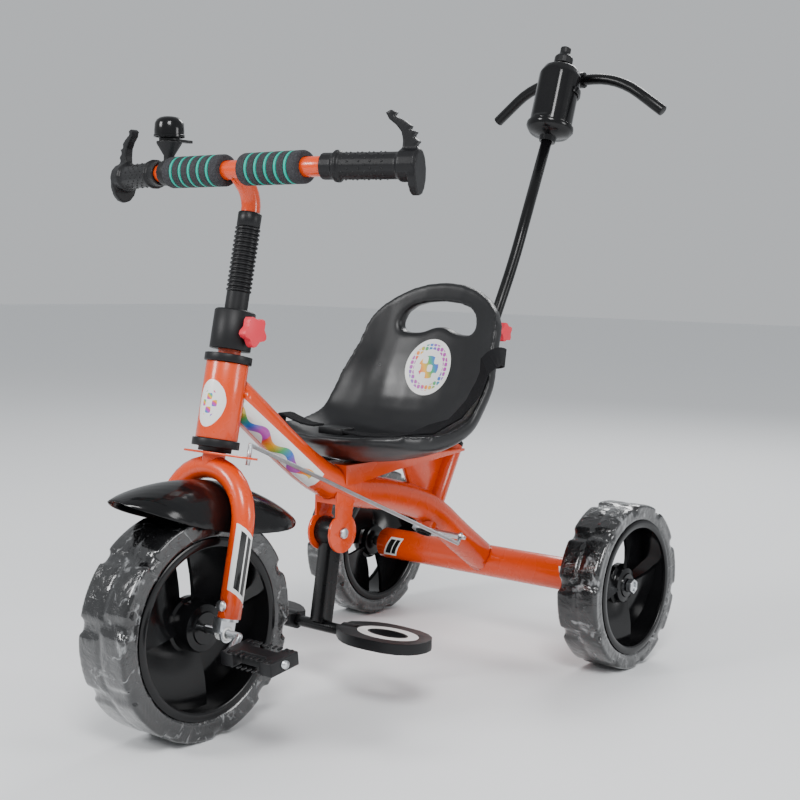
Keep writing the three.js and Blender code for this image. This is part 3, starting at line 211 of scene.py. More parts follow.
class Finish:
    """A material whose nodes are written as expressions."""

    def __init__(self, name, color, roughness, metallic=0.0, **settings):
        self.material = bpy.data.materials.new(name)
        self.material.use_nodes = True
        self.tree = self.material.node_tree
        self.shader = self.tree.nodes["Principled BSDF"]
        self.shader.inputs["Base Color"].default_value = (*color, 1)
        self.shader.inputs["Roughness"].default_value = roughness
        self.shader.inputs["Metallic"].default_value = metallic
        for key, value in settings.items():
            self.shader.inputs[key.replace("_", " ")].default_value = value
        self.material.diffuse_color = (*color, 1)

    def node(self, kind, settings, values):
        """Adds a node, sets it up, fills its inputs and returns its outputs as sockets."""
        made = self.tree.nodes.new(kind)
        for key, value in settings.items():
            if key == "stops":
                self._ramp(made.color_ramp, value)
            else:
                setattr(made, key, value)
        for key, value in values.items():
            self._fill(made.inputs[key], value)
        return [Socket(self, output) for output in made.outputs]

    def _ramp(self, ramp, stops):
        while len(ramp.elements) < len(stops):
            ramp.elements.new(0.5)
        for element, (position, color) in zip(ramp.elements, stops):
            element.position = position
            element.color = (*color, 1)

    def _fill(self, socket, value):
        if isinstance(value, Socket):
            value = value.value
        if isinstance(value, bpy.types.NodeSocket):
            self.tree.links.new(value, socket)
        else:
            socket.default_value = value

    def feed(self, key, value):
        """Links a socket to an input of the shader."""
        self._fill(self.shader.inputs[key], value)

    def place(self):
        """The x, y and z of a point on the piece, in metres."""
        coordinates = self.node("ShaderNodeTexCoord", {}, {})[3]
        return self.node("ShaderNodeSeparateXYZ", {}, {0: coordinates})[:3]

    def noise(self, scale, detail=2.0, stretch=(1, 1, 1), distortion=0.0):
        """Noise from 0 to 1, on the piece's own coordinates."""
        coordinates = self.node("ShaderNodeTexCoord", {}, {})[3]
        mapped = self.node("ShaderNodeMapping", {}, {0: coordinates, "Scale": stretch})[0]
        values = {"Vector": mapped, "Scale": scale, "Detail": detail, "Distortion": distortion}
        return self.node("ShaderNodeTexNoise", {}, values)[0]

    def ramp(self, value, *stops):
        """A colour from a number."""
        return self.node("ShaderNodeValToRGB", {"stops": stops}, {0: value})[0]

    def spread(self, value, low, high, to_low, to_high):
        """A number carried from one range to another."""
        values = {0: value, 1: low, 2: high, 3: to_low, 4: to_high}
        return self.node("ShaderNodeMapRange", {"clamp": True}, values)[0]

    def blend(self, share, one, other):
        """A colour between two."""
        one = (*one, 1) if isinstance(one, tuple) and len(one) == 3 else one
        other = (*other, 1) if isinstance(other, tuple) and len(other) == 3 else other
        return self.node("ShaderNodeMix", {"data_type": "RGBA"}, {0: share, 6: one, 7: other})[2]

    def mottle(self, noise, edge, roughness, below, above):
        """Varies the roughness round a value with a noise, read from edge to 1 - edge."""
        self.feed("Roughness", self.spread(noise, edge, 1 - edge, roughness - below, roughness + above))

    def bump(self, height, distance, strength=1.0):
        """Feeds a height to the shader's normal."""
        values = {"Height": height, "Distance": distance, "Strength": strength}
        self.feed("Normal", self.node("ShaderNodeBump", {}, values)[0])


def disc(x, y, centre, radii):
    """1 inside an ellipse."""
    u = (x - centre[0]) / radii[0]
    v = (y - centre[1]) / radii[1]
    return (u * u + v * v) < 1.0


def band(value, low, high):
    """1 between two values."""
    return (value > low) * (value < high)


MARK_COLOURS = (
    (0.8, 0.05, 0.03),
    (0.9, 0.45, 0.02),
    (0.05, 0.4, 0.1),
    (0.03, 0.15, 0.6),
    (0.45, 0.05, 0.4),
)
MARK_STOPS = tuple((i / len(MARK_COLOURS), color) for i, color in enumerate(MARK_COLOURS))
DECAL_WHITE = (0.82, 0.82, 0.8)
DECAL_BLACK = (0.01, 0.01, 0.01)


def painted(name, color, roughness=0.24, coat=0.3, specular=0.5):
    """Powder coat with a faint orange peel."""
    finish = Finish(
        name, color, roughness, Coat_Weight=coat, Coat_Roughness=0.08, Specular_IOR_Level=specular
    )
    finish.mottle(finish.noise(35, 3), 0.3, roughness, 0.04, 0.08)
    finish.bump(finish.noise(260, 2), 0.00008)
    return finish


def moulded(name, color, roughness, grain=900, depth=0.00006):
    """Moulded plastic with a fine grain and slight scuffs."""
    finish = Finish(name, color, roughness, Specular_IOR_Level=0.32)
    finish.mottle(finish.noise(18, 5), 0.25, roughness, 0.07, 0.1)
    finish.bump(finish.noise(grain, 3), depth)
    return finish


def metal(name, color=(0.66, 0.68, 0.7), roughness=0.32):
    """Zinc plate with a faint mottle."""
    finish = Finish(name, color, roughness, metallic=1.0)
    finish.mottle(finish.noise(140, 4), 0.2, roughness, 0.05, 0.08)
    finish.feed("Base Color", finish.ramp(finish.noise(90, 2), (0.3, (0.58, 0.6, 0.62)), (0.7, color)))
    return finish


def wrapped_tyre(name):
    """Black tyre plastic inside clear stretch film: glossy folds over a dark base, with painted highlights
    as pale grey streaks along the folds.
    """
    finish = Finish(name, (0.005, 0.005, 0.0055), 0.18, Coat_Weight=1.0, Coat_Roughness=0.06)
    folds = finish.noise(11, 5, stretch=(0.7, 1.0, 1.0), distortion=1.2)
    fine = finish.noise(45, 4, distortion=2.0)
    ridge = 1 - ((folds - 0.5) * 14).abs()
    # painted highlight: pale grey streaks on the fold ridges stand in for light caught by the film
    painted_glint = finish.spread(ridge * fine, 0.42, 0.66, 0.0, 0.45)
    haze = finish.spread(finish.noise(7, 3), 0.55, 0.85, 0.0, 0.5)
    base = finish.blend(haze, (0.005, 0.005, 0.0055), (0.04, 0.041, 0.043))
    # the painted highlight streaks are mixed into the base colour here
    finish.feed("Base Color", finish.blend(painted_glint, base, (0.5, 0.51, 0.52)))
    finish.feed("Roughness", finish.spread(fine, 0.3, 0.7, 0.08, 0.3))
    finish.bump(folds + fine * 0.3, 0.009, 0.8)
    return finish


def foam(name):
    """Closed-cell foam."""
    finish = Finish(name, (0.022, 0.022, 0.026), 0.85)
    finish.bump(finish.noise(700, 3), 0.0004)
    cells = finish.ramp(finish.noise(500, 2), (0.35, (0.014, 0.014, 0.017)), (0.65, (0.035, 0.035, 0.04)))
    finish.feed("Base Color", cells)
    return finish


def woven(name):
    """Webbing: ribs across a weave."""
    finish = Finish(name, (0.01, 0.01, 0.011), 0.85, Specular_IOR_Level=0.2)
    x, y, z = finish.place()
    warp = (x * 2600).sine() * ((y + z) * 2600).sine()
    threads = finish.ramp(warp * 0.5 + 0.5, (0.0, (0.004, 0.004, 0.005)), (1.0, (0.018, 0.018, 0.02)))
    finish.feed("Base Color", threads)
    finish.bump(warp, 0.0004)
    return finish


def main_tube_paint(name, color):
    """Frame paint with a long white label of plain colour strokes on the rider's left."""
    finish = painted(name, color)
    x, y, z = finish.place()
    start, end = Vector((-0.286, 0.367)), Vector((-0.138, 0.272))
    along_axis = (end - start).normalized()
    along = (y - start.x) * along_axis.x + (z - start.y) * along_axis.y
    across = (z - start.y) * along_axis.x - (y - start.x) * along_axis.y
    length = (end - start).length
    label = band(along, 0.0, length) * band(across + along * 0.06, -0.014, 0.014) * (x > 0.004)
    wave = (along * 130).sine() * 0.0032
    strokes = band(across + along * 0.06 - wave, -0.004, 0.004) * band(along, 0.012, length - 0.014)
    line = band(across + along * 0.06, -0.0112, -0.0098) * band(along, 0.02, length - 0.02)
    marks = finish.ramp((along * 14).fraction(), *MARK_STOPS)
    with_strokes = finish.blend(strokes, DECAL_WHITE, marks)
    with_line = finish.blend(line, with_strokes, DECAL_BLACK)
    finish.feed("Base Color", finish.blend(label, color, with_line))
    return finish


def head_badge_paint(name, color):
    """Frame paint with a round white badge on the front of the head tube."""
    finish = painted(name, color)
    x, y, z = finish.place()
    centre = STEER_FOOT + STEER_AXIS * (250 * MM)
    angle_side = x - 0.004
    badge = disc(angle_side, z, (0.0, centre.z), (0.016, 0.026)) * (y < centre.y)
    marks = finish.ramp((z * 90 + x * 60).fraction(), *MARK_STOPS)
    checks = (x * 420).sine() * (z * 420).sine() > 0.1
    spots = disc(angle_side, z, (0.0, centre.z), (0.009, 0.016)) * checks
    finish.feed("Base Color", finish.blend(badge, color, finish.blend(spots, DECAL_WHITE, marks)))
    return finish


def fork_paint(name, color):
    """Frame paint with a striped label on the outside of each leg."""
    finish = painted(name, color)
    x, y, z = finish.place()
    back = y - STEER_FOOT.y - (z - STEER_FOOT.z) * BACK_SLOPE
    label = band(z + back * 0.9, 0.163, 0.234) * band(back, -0.0125, 0.0075)
    outside = x.abs() > 0.058
    inner = band(z + back * 0.9, 0.168, 0.229) * band(back, -0.0095, 0.0035)
    line = band(back, -0.0035, -0.002)
    striped = finish.blend(inner * (1 - line), DECAL_WHITE, DECAL_BLACK)
    finish.feed("Base Color", finish.blend(label * outside, color, striped))
    return finish


def axle_paint(name, color):
    """Frame paint with a striped label on the axle tube beside each side of the main tube."""
    finish = painted(name, color)
    x, y, z = finish.place()
    middle = HUBS["left"]
    height = z - middle.z
    front = y < middle.y
    slant = x.abs() + height * 0.5
    label = band(slant, 0.142, 0.166) * band(height, -0.014, 0.014) * front
    inner = band(slant, 0.145, 0.163) * band(height, -0.011, 0.011)
    line = band(slant, 0.152, 0.1535)
    striped = finish.blend(inner * (1 - line), DECAL_WHITE, DECAL_BLACK)
    finish.feed("Base Color", finish.blend(label, color, striped))
    return finish


def seat_plastic(name, color):
    """Seat plastic with an oval white badge of plain colour spots on the backrest."""
    finish = moulded(name, color, 0.34)
    finish.shader.inputs["Specular IOR Level"].default_value = 0.5
    x, y, z = finish.place()
    centre = (0.0, 0.394)
    badge = disc(x, z, centre, (0.037, 0.037)) * (y < 0.13) * (y > 0.02)
    normal = finish.node("ShaderNodeTexCoord", {}, {})[1]
    facing = finish.node("ShaderNodeSeparateXYZ", {}, {0: normal})[1] < -0.2
    ring = disc(x, z, centre, (0.031, 0.031)) * (1 - disc(x, z, centre, (0.0235, 0.0235)))
    dashes = ((x * 500).sine() * (z * 500).sine()).abs() > 0.28
    blob = disc(x, z, centre, (0.0165, 0.015)) * ((x * 330 + 0.8).sine() * (z * 300).sine() > -0.15)
    marks = finish.ramp((x * 19 + z * 11).fraction(), *MARK_STOPS)
    sticker = finish.blend(ring * dashes, DECAL_WHITE, marks)
    sticker = finish.blend(blob, sticker, marks)
    finish.feed("Base Color", finish.blend(badge * facing, color, sticker))
    return finish


def pad_plastic(name, color):
    """Pad plastic with a white ring printed round its hole."""
    finish = moulded(name, color, 0.4)
    x, y, z = finish.place()
    low, high = box("footpad_left")
    centre = (0.107, (low.y + high.y) / 2)
    side = x.abs()
    label = disc(side, y, centre, (0.043, 0.024)) * (z > high.z - 0.0022)
    line = disc(side, y, centre, (0.029, 0.0138))
    finish.feed("Base Color", finish.blend(label, color, finish.blend(line, DECAL_WHITE, DECAL_BLACK)))
    return finish


FINISHES = {}


def finishes():
    """Every finish of the tricycle, made once."""
    if FINISHES:
        return FINISHES
    colours = bpy.context.scene.tricycle_colours
    paint, plastic = tuple(colours.paint), tuple(colours.plastic)
    FINISHES.update(
        orange_paint=painted("frame_paint", paint),
        main_tube=main_tube_paint("main_tube_paint", paint),
        head_tube=head_badge_paint("head_tube_paint", paint),
        fork_tube=fork_paint("fork_paint", paint),
        axle_tube=axle_paint("axle_tube_paint", paint),
        black_paint=painted("black_powder_coat", (0.004, 0.004, 0.0045), 0.26, 0.0, 0.25),
        black_plastic=moulded("satin_black_plastic", plastic, 0.42),
        seat=seat_plastic("seat_plastic", plastic),
        footpad_left=pad_plastic("footpad_plastic", plastic),
        gloss_plastic=moulded("gloss_black_plastic", (0.004, 0.004, 0.0045), 0.17, 500, 0.00002),
        tyre_plastic=wrapped_tyre("wrapped_tyre"),
        foam=foam("charcoal_foam"),
        foam_rings=moulded("ring_plastic", tuple(colours.rings), 0.5),
        red_plastic=moulded("knob_plastic", tuple(colours.knobs), 0.35),
        nylon=moulded("white_nylon", (0.78, 0.78, 0.76), 0.45),
        zinc=metal("zinc_plate"),
        webbing=woven("belt_webbing"),
    )
    FINISHES["footpad_right"] = FINISHES["footpad_left"]
    return FINISHES


# ---------------------------------------------------------------- modelling


def only(obj):
    """Selects one object and makes it active."""
    bpy.ops.object.select_all(action="DESELECT")
    obj.select_set(True)
    bpy.context.view_layer.objects.active = obj
    return obj


def smooth(obj, angle=40):
    """Smooth shading but for edges sharper than the angle."""
    only(obj)
    bpy.ops.object.shade_smooth_by_angle(angle=math.radians(angle))
    return obj


def modify(obj, kind, **settings):
    """Adds a modifier and applies it."""
    only(obj)
    modifier = obj.modifiers.new(kind.title(), kind)
    for key, value in settings.items():
        setattr(modifier, key, value)
    bpy.ops.object.modifier_apply(modifier=modifier.name)
    return obj


def round_edges(obj, width, segments, angle):
    """Rounds the edges sharper than the angle, in degrees."""
    limit = math.radians(angle)
    return modify(obj, "BEVEL", width=width, segments=segments, limit_method="ANGLE", angle_limit=limit)


def soften(obj, voxel, rounds):
    """Remeshes a piece and smooths it, so that every edge is rounded."""
    modify(obj, "REMESH", mode="VOXEL", voxel_size=voxel)
    return modify(obj, "SMOOTH", factor=0.5, iterations=rounds)


def edit(obj, *steps):
    """Runs edit mode steps on the whole mesh; each step is an operator and its settings."""
    only(obj)
    bpy.ops.object.mode_set(mode="EDIT")
    bpy.ops.mesh.select_all(action="SELECT")
    for operator, settings in steps:
        operator(**settings)
    bpy.ops.object.mode_set(mode="OBJECT")
    return obj


def tidy_mesh(obj, distance=0.00002):
    """Merges doubles and turns the faces out."""
    return edit(
        obj,
        (bpy.ops.mesh.remove_doubles, {"threshold": distance}),
        (bpy.ops.mesh.normals_make_consistent, {"inside": False}),
    )


def settle(obj):
    """Puts the object's place into its mesh."""
    only(obj)
    bpy.ops.object.transform_apply(location=True, rotation=True, scale=True)
    return obj


def finish_piece(obj, name, node, finish=None, replaces=()):
    """Names a piece, gives it its finish and rides it on the body of its CAD node."""
    obj.name = obj.data.name = name
    obj.data.materials.clear()
    obj.data.materials.append(finishes()[finish or node_finish(node)].material)
    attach(obj, body_of(NODES[node])[0])
    if replaces:
        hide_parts(*replaces)
    return obj


def node_finish(node):
    """The name of a node's finish: its own, or its material slot's."""
    return node if node in finishes() else SLOTS[node]


def cad_copy(node):
    """A merged copy of a CAD node's mesh, on its own."""
    source = NODES[node]
    obj = bpy.data.objects.new(node + "_copy", source.data.copy())
    bpy.context.collection.objects.link(obj)
    edit(obj, (bpy.ops.mesh.remove_doubles, {"threshold": 0.000005}))
    return obj


def join(objects):
    """Joins several objects into the first."""
    bpy.ops.object.select_all(action="DESELECT")
    for obj in objects:
        obj.select_set(True)
    bpy.context.view_layer.objects.active = objects[0]
    bpy.ops.object.join()
    return objects[0]


def copies(obj, places):
    """Copies of a piece, each with its own mesh, one for each placing matrix.

    The piece itself takes the first place.
    """
    made = [obj]
    for _ in places[1:]:
        only(obj)
        bpy.ops.object.duplicate(linked=False)
        made.append(bpy.context.active_object)
    for piece, place in zip(made, places):
        piece.matrix_world = place
        settle(piece)
    return made


def outline_object(points):
    """A chain of edges through points, extruded from a plane's merged corners."""
    bpy.ops.object.select_all(action="DESELECT")
    bpy.ops.mesh.primitive_plane_add(size=0.001, location=points[0])
    obj = settle(bpy.context.active_object)
    only(obj)
    bpy.ops.object.mode_set(mode="EDIT")
    bpy.ops.mesh.select_all(action="SELECT")
    bpy.ops.mesh.merge(type="CENTER")
    for before, point in zip(points, points[1:]):
        step = tuple(Vector(point) - Vector(before))
        bpy.ops.mesh.extrude_vertices_move(TRANSFORM_OT_translate={"value": step})
    bpy.ops.object.mode_set(mode="OBJECT")
    return obj


def turn(outline, foot, axis, side, steps=64):
    """A body turned about an axis; the outline is of (radius, height) points in millimetres."""
    points = [foot + side * (r * MM) + axis * (h * MM) for r, h in outline]
    obj = outline_object(points)
    only(obj)
    bpy.ops.object.mode_set(mode="EDIT")
    bpy.ops.mesh.select_all(action="SELECT")
    bpy.ops.mesh.spin(steps=steps, angle=2 * math.pi, center=foot, axis=axis)
    bpy.ops.mesh.select_all(action="SELECT")
    bpy.ops.mesh.remove_doubles(threshold=0.00002)
    bpy.ops.mesh.normals_make_consistent(inside=False)
    bpy.ops.object.mode_set(mode="OBJECT")
    return obj


def block(size, centre, bevel, segments):
    """A box of that size with rounded edges, centred on a point."""
    bpy.ops.object.select_all(action="DESELECT")
    bpy.ops.mesh.primitive_cube_add(size=1)
    obj = bpy.context.active_object
    obj.scale = size
    settle(obj)
    modify(obj, "BEVEL", width=bevel, segments=segments)
    obj.location = centre
    return settle(obj)


# ---------------------------------------------------------------- operators

# Nodes shown as smoothed copies of their CAD meshes, with the edge rounding each one gets in millimetres.
SMOOTHED = {
    "head_tube": 0.6,
    "headset_cup_upper": 0.8,
    "headset_cup_lower": 0.8,
    "main_tube": 0,
    "axle_tube": 0.8,
    "rear_axle": 0.5,
    "hub_nut_left": 0.8,
    "hub_nut_right": 0.8,
    "push_sleeve": 0.4,
    "seat_bracket": 0.5,
    "footrest_clevis": 0.5,
    "footrest_bolt": 0.5,
    "belt_left": 0.3,
    "belt_right": 0.3,
    "fork_tube": 0,
    "steerer_tube": 0,
    "clamp_collar": 0.8,
    "steering_arm": 0.3,
    "dropout_left": 0.3,
    "dropout_right": 0.3,
    "dropout_bolt_left": 0.8,
    "dropout_bolt_right": 0.8,
    "bush_left": 0.6,
    "bush_right": 0.6,
    "stem_tube": 0,
    "handlebar_tube": 0,
    "bell_stand": 0.5,
    "bell_lever": 0.4,
    "stem_knob": 1.2,
    "push_knob": 1.0,
    "crank_axle": 0,
    "footrest_stem": 1.0,
    "footrest_bar": 0.5,
    "push_shaft": 0.5,
    "crank_plate": 0.3,
    "push_tube": 0,
    "push_crossbar": 0.8,
    "bottle_holder": 0.5,
    "steering_rod": 0,
}


class TRICYCLE_OT_cad_finishes(bpy.types.Operator):
    """Gives every CAD part the finish of its material slot"""

    bl_idname = "tricycle.cad_finishes"
    bl_label = "Finishes"

    def execute(self, context):
        for node, obj in NODES.items():
            obj.data.materials.clear()
            obj.data.materials.append(finishes()[node_finish(node)].material)
        return {"FINISHED"}


class TRICYCLE_OT_smooth_parts(bpy.types.Operator):
    """Shows the tubes, brackets and fittings with rounded edges"""

    bl_idname = "tricycle.smooth_parts"
    bl_label = "Tubes and fittings"

    def execute(self, context):
        for node, rounding in SMOOTHED.items():
            obj = cad_copy(node)
            if rounding:
                round_edges(obj, rounding * MM, 2, 48)
            smooth(obj, 44)
            finish_piece(obj, node + "_finished", node, replaces=(node,))
        return {"FINISHED"}


def lugs(hub, radius, half_width, count, height):
    """Blocks across the tread, staggered from side to side."""
    pitch = 2 * math.pi / count
    arc = pitch * 0.8
    depth = height + 4 * MM
    bpy.ops.object.select_all(action="DESELECT")
    bpy.ops.mesh.primitive_plane_add(size=1, rotation=(math.pi / 2, 0, 0))
    lug = bpy.context.active_object
    lug.scale = (half_width * 0.98, depth, 1)
    lug.location = (half_width * 0.5 + MM, 0, radius - depth / 2)
    settle(lug)
    lug.matrix_world = Matrix.Rotation(-arc / 2, 4, "X")
    settle(lug)
    edit(lug, (bpy.ops.mesh.spin, {"steps": 8, "angle": arc, "center": (0, 0, 0), "axis": X_AXIS}))
    tidy_mesh(lug)
    modify(lug, "BEVEL", width=0.002, segments=2)
    half_turn = Matrix.Rotation(math.pi, 4, "Z")
    places = []
    for i in range(count):
        places.append(Matrix.Translation(hub) @ Matrix.Rotation((i + 0.5) * pitch, 4, "X"))
        places.append(Matrix.Translation(hub) @ Matrix.Rotation(i * pitch, 4, "X") @ half_turn)
    return copies(lug, places)


def tyre(hub, low, high, sizes):
    """A tyre body with shoulders and lugs inside the box of its CAD node."""
    radius = (high.z - low.z) / 2 / MM
    half = (high.x - low.x) / 2 / MM
    hub = Vector(((low.x + high.x) / 2, hub.y, hub.z))
    height = sizes.lug_height / MM
    bore = radius - 27 if radius > 120 else radius - 24
    top = radius - height
    outline = [
        (bore + 0.4, -half + 4), (bore + 5, -half + 0.5), (bore + 9, -half), (top - 7, -half + 0.6),
        (top - 2.5, -half + 2.5), (top, -half + 7), (top + 0.6, -half / 2), (top + 0.8, 0),
        (top + 0.6, half / 2), (top, half - 7), (top - 2.5, half - 2.5), (top - 7, half - 0.6),
        (bore + 9, half), (bore + 5, half - 0.5), (bore + 0.4, half - 4), (bore + 0.4, -half + 4),
    ]
    body = turn(outline, hub, X_AXIS, Vector((0, 0, 1)), 96)
    smooth(body, 50)
    obj = join([body, *lugs(hub, radius * MM, half * MM, sizes.lugs, sizes.lug_height)])
    soften(obj, 2.1 * MM, 18)
    return smooth(obj, 180)


def blade(inner, outer, sweep, twist, thickness, steps=12):
    """One blade of a wheel disc: a dished spoke swept and twisted about the X axis."""
    dish = ((0, 0), (0.25, 0.0021), (0.5, 0.003), (0.75, 0.0021), (1, 0))
    points = [Vector((rise - twist / 2, 0, inner + (outer - inner) * share)) for share, rise in dish]
    obj = outline_object(points)
    modify(obj, "SCREW", axis="X", angle=sweep, screw_offset=twist, steps=steps, render_steps=steps)
    modify(obj, "SOLIDIFY", thickness=thickness, offset=0)
    return tidy_mesh(obj)


def mirrored(outline):
    """A (radius, height) outline and its mirror image, as one closed outline."""
    whole = outline + [(r, -h) for r, h in reversed(outline)]
    return whole + whole[:1]


def wheel_disc(hub, out, blades, half, rim, hub_radius, reach, bore):
    """A dished wheel: lipped barrel, stepped hub and twisted blades. out is the side that faces away."""
    axis = X_AXIS * out
    side = Vector((0, 0, 1))
    half_barrel = [
        (rim - 0.3, half - 3.5), (rim + 3, half - 2), (rim + 3.2, half - 0.8), (rim + 1, half),
        (rim - 5, half), (rim - 6.5, half - 1), (rim - 7, half - 4), (rim - 4.5, half - 6),
    ]
    barrel = smooth(turn(mirrored(half_barrel), hub, axis, side, 96), 35)
    hub_outline = [
        (bore, -reach), (hub_radius * 0.7, -reach), (hub_radius * 0.82, -reach + 2),
        (hub_radius * 0.9, -6), (hub_radius + 1, -4), (hub_radius + 1, 3), (hub_radius * 0.93, 5),
        (hub_radius * 0.9, reach - 8), (hub_radius * 0.84, reach - 4), (hub_radius * 0.6, reach - 2.5),
        (hub_radius * 0.57, reach - 0.6), (bore + 3, reach), (bore, reach), (bore, -reach),
    ]
    hub_body = smooth(turn(hub_outline, hub, axis, side, 64), 35)
    one = blade((hub_radius - 4) * MM, (rim - 3) * MM, math.radians(88), 22 * MM * out, 4 * MM)
    smooth(one, 35)
    angles = [math.radians(12) + i * 2 * math.pi / blades for i in range(blades)]
    places = [Matrix.Translation(hub) @ Matrix.Rotation(angle, 4, "X") for angle in angles]
    return join([barrel, hub_body, *copies(one, places)])


class TRICYCLE_OT_wheels(bpy.types.Operator):
    """Builds the three wheels: lugged tyres and bladed discs"""

    bl_idname = "tricycle.wheels"
    bl_label = "Wheels"

    def execute(self, context):
        sizes = context.scene.tricycle_sizes
        for which, hub in HUBS.items():
            front = which == "front"
            tyre_node = "front_tyre" if front else f"rear_tyre_{which}"
            rim_node = "front_rim" if front else f"rear_rim_{which}"
            low, high = box(tyre_node)
            obj = tyre(hub, low, high, sizes)
            finish_piece(obj, tyre_node + "_lugged", tyre_node, replaces=(tyre_node,))
            out = -1 if which == "right" else 1
            disc_piece = wheel_disc(hub, out, sizes.blades, **DISCS["front" if front else "rear"])
            finish_piece(disc_piece, rim_node + "_bladed", rim_node, replaces=(rim_node,))
        return {"FINISHED"}


class TRICYCLE_OT_seat(bpy.types.Operator):
    """Builds the moulded bucket seat with rounded edges"""

    bl_idname = "tricycle.seat"
    bl_label = "Seat"

    def execute(self, context):
        obj = cad_copy("seat")
        soften(obj, 2.4 * MM, 30)
        smooth(obj, 180)
        finish_piece(obj, "seat_moulded", "seat", replaces=("seat",))
        buckle = cad_copy("belt_buckle")
        modify(buckle, "BEVEL", width=0.0028, segments=3)
        smooth(buckle)
        finish_piece(buckle, "belt_buckle_moulded", "belt_buckle", replaces=("belt_buckle",))
        return {"FINISHED"}


class TRICYCLE_OT_mudguard(bpy.types.Operator):
    """Builds the arched mudguard"""

    bl_idname = "tricycle.mudguard"
    bl_label = "Mudguard"

    def execute(self, context):
        obj = cad_copy("mudguard")
        modify(obj, "SUBSURF", levels=2, render_levels=2)
        smooth(obj, 60)
        finish_piece(obj, "mudguard_moulded", "mudguard", replaces=("mudguard",))
        return {"FINISHED"}


class TRICYCLE_OT_stem_bellows(bpy.types.Operator):
    """Builds the ribbed bellows round the stem"""

    bl_idname = "tricycle.stem_bellows"
    bl_label = "Stem bellows"

    def execute(self, context):
        ribs = context.scene.tricycle_sizes.ribs
        bottom, top = 353.6, 465
        start, end = bottom + 20, top - 16
        outline = [(11.3, bottom), (13, bottom), (13, start)]
        pitch = (end - start) / ribs
        for i in range(ribs):
            base = start + i * pitch
            rib = ((12.4, 0), (14.3, 0.3), (14.3, 0.6), (12.4, 0.85))
            outline += [(radius, base + pitch * share) for radius, share in rib]
        outline += [(13.3, end), (13.5, top - 1), (12.6, top), (11.3, top), (11.3, bottom)]
        obj = smooth(turn(outline, STEER_FOOT, STEER_AXIS, X_AXIS, 48), 50)
        finish_piece(obj, "stem_bellows", "stem_cover", replaces=("stem_cover",))
        return {"FINISHED"}


class TRICYCLE_OT_foams(bpy.types.Operator):
    """Builds the grooved foams and the rings in their grooves"""

    bl_idname = "tricycle.foams"
    bl_label = "Handlebar foams"

    def execute(self, context):
        count = context.scene.tricycle_sizes.foam_rings
        for side, which in ((1, "left"), (-1, "right")):
            node = "foam_" + which
            low, high = box(node)
            middle = Vector((0, (low.y + high.y) / 2, (low.z + high.z) / 2))
            axis = X_AXIS * side
            start, end = min(abs(low.x), abs(high.x)) / MM, max(abs(low.x), abs(high.x)) / MM
            outer = 18.0
            pitch = (end - start - 16) / count
            outline = [(11.4, start), (outer - 2, start), (outer - 0.6, start + 0.8), (outer, start + 2.5)]
            rings = []
            for i in range(count):
                centre = start + 8 + (i + 0.5) * pitch
                groove = ((0, -3), (1.4, -2), (1.4, 2), (0, 3))
                outline += [(outer - depth, centre + across) for depth, across in groove]
                ring = [
                    (outer - 1.35, centre - 1.8), (outer - 0.1, centre - 1.5),
                    (outer - 0.1, centre + 1.5), (outer - 1.35, centre + 1.8),
                ]
                rings.append(turn(ring + ring[:1], middle, axis, Vector((0, 0, 1)), 48))
            outline += [(outer, end - 2.5), (outer - 0.6, end - 0.8), (outer - 2, end)]
            outline += [(11.4, end), (11.4, start)]
            obj = smooth(turn(outline, middle, axis, Vector((0, 0, 1)), 48), 50)
            finish_piece(obj, node + "_grooved", node, replaces=(node,))
            band_piece = smooth(join(rings), 40)
            finish_piece(band_piece, node + "_rings", node, finish="foam_rings")
        return {"FINISHED"}


class TRICYCLE_OT_grips(bpy.types.Operator):
    """Builds the hand grips with rounded guards and raised dots"""

    bl_idname = "tricycle.grips"
    bl_label = "Grips"

    def execute(self, context):
        sweep = math.atan2(33.3, 119.0)
        for side, which in ((1, "left"), (-1, "right")):
            node = "grip_" + which
            obj = cad_copy(node)
            soften(obj, 1.1 * MM, 6)
            low, high = box("foam_" + which)
            foot = Vector((side * 0.115, (low.y + high.y) / 2, (low.z + high.z) / 2))
            along = Vector((side * math.cos(sweep), math.sin(sweep), 0))
            up = Vector((0, 0, 1))
            across = along.cross(up)
            bpy.ops.object.select_all(action="DESELECT")
            bpy.ops.mesh.primitive_uv_sphere_add(segments=8, ring_count=5, radius=0.0013)
            dot = bpy.context.active_object
            places = []
            rows, columns = 12, 8
            for i in range(columns):
                for j in range(rows):
                    angle = 2 * math.pi * (j + (0.5 if i % 2 else 0)) / rows
                    direction = up * math.cos(angle) + across * math.sin(angle)
                    centre = foot + along * ((39 + i * 6.6) * MM) + direction * (13.85 * MM)
                    places.append(Matrix.Translation(centre))
            joined = smooth(join([obj, *copies(dot, places)]), 180)
            finish_piece(joined, node + "_moulded", node, replaces=(node,))
        return {"FINISHED"}


class TRICYCLE_OT_bell(bpy.types.Operator):
    """Builds the bell's round dome"""

    bl_idname = "tricycle.bell"
    bl_label = "Bell"

    def execute(self, context):
        low, high = box("bell_dome")
        foot = Vector(((low.x + high.x) / 2, (low.y + high.y) / 2, low.z))
        height = (high.z - low.z) / MM
        outline = [
            (0, height), (6, height - 0.2), (11, height - 1.4), (14.6, height - 4), (16.8, height - 8),
            (17.4, 8), (17.3, 3.2), (18, 2.6), (18, 0.2), (17.2, 0), (16.2, 0.4), (16, 8),
            (14.8, height - 9), (12, height - 4.5), (6, height - 2), (0, height - 1.8),
        ]
        obj = smooth(turn(outline, foot, Vector((0, 0, 1)), X_AXIS, 64), 40)
        finish_piece(obj, "bell_dome_round", "bell_dome", replaces=("bell_dome",))
        return {"FINISHED"}


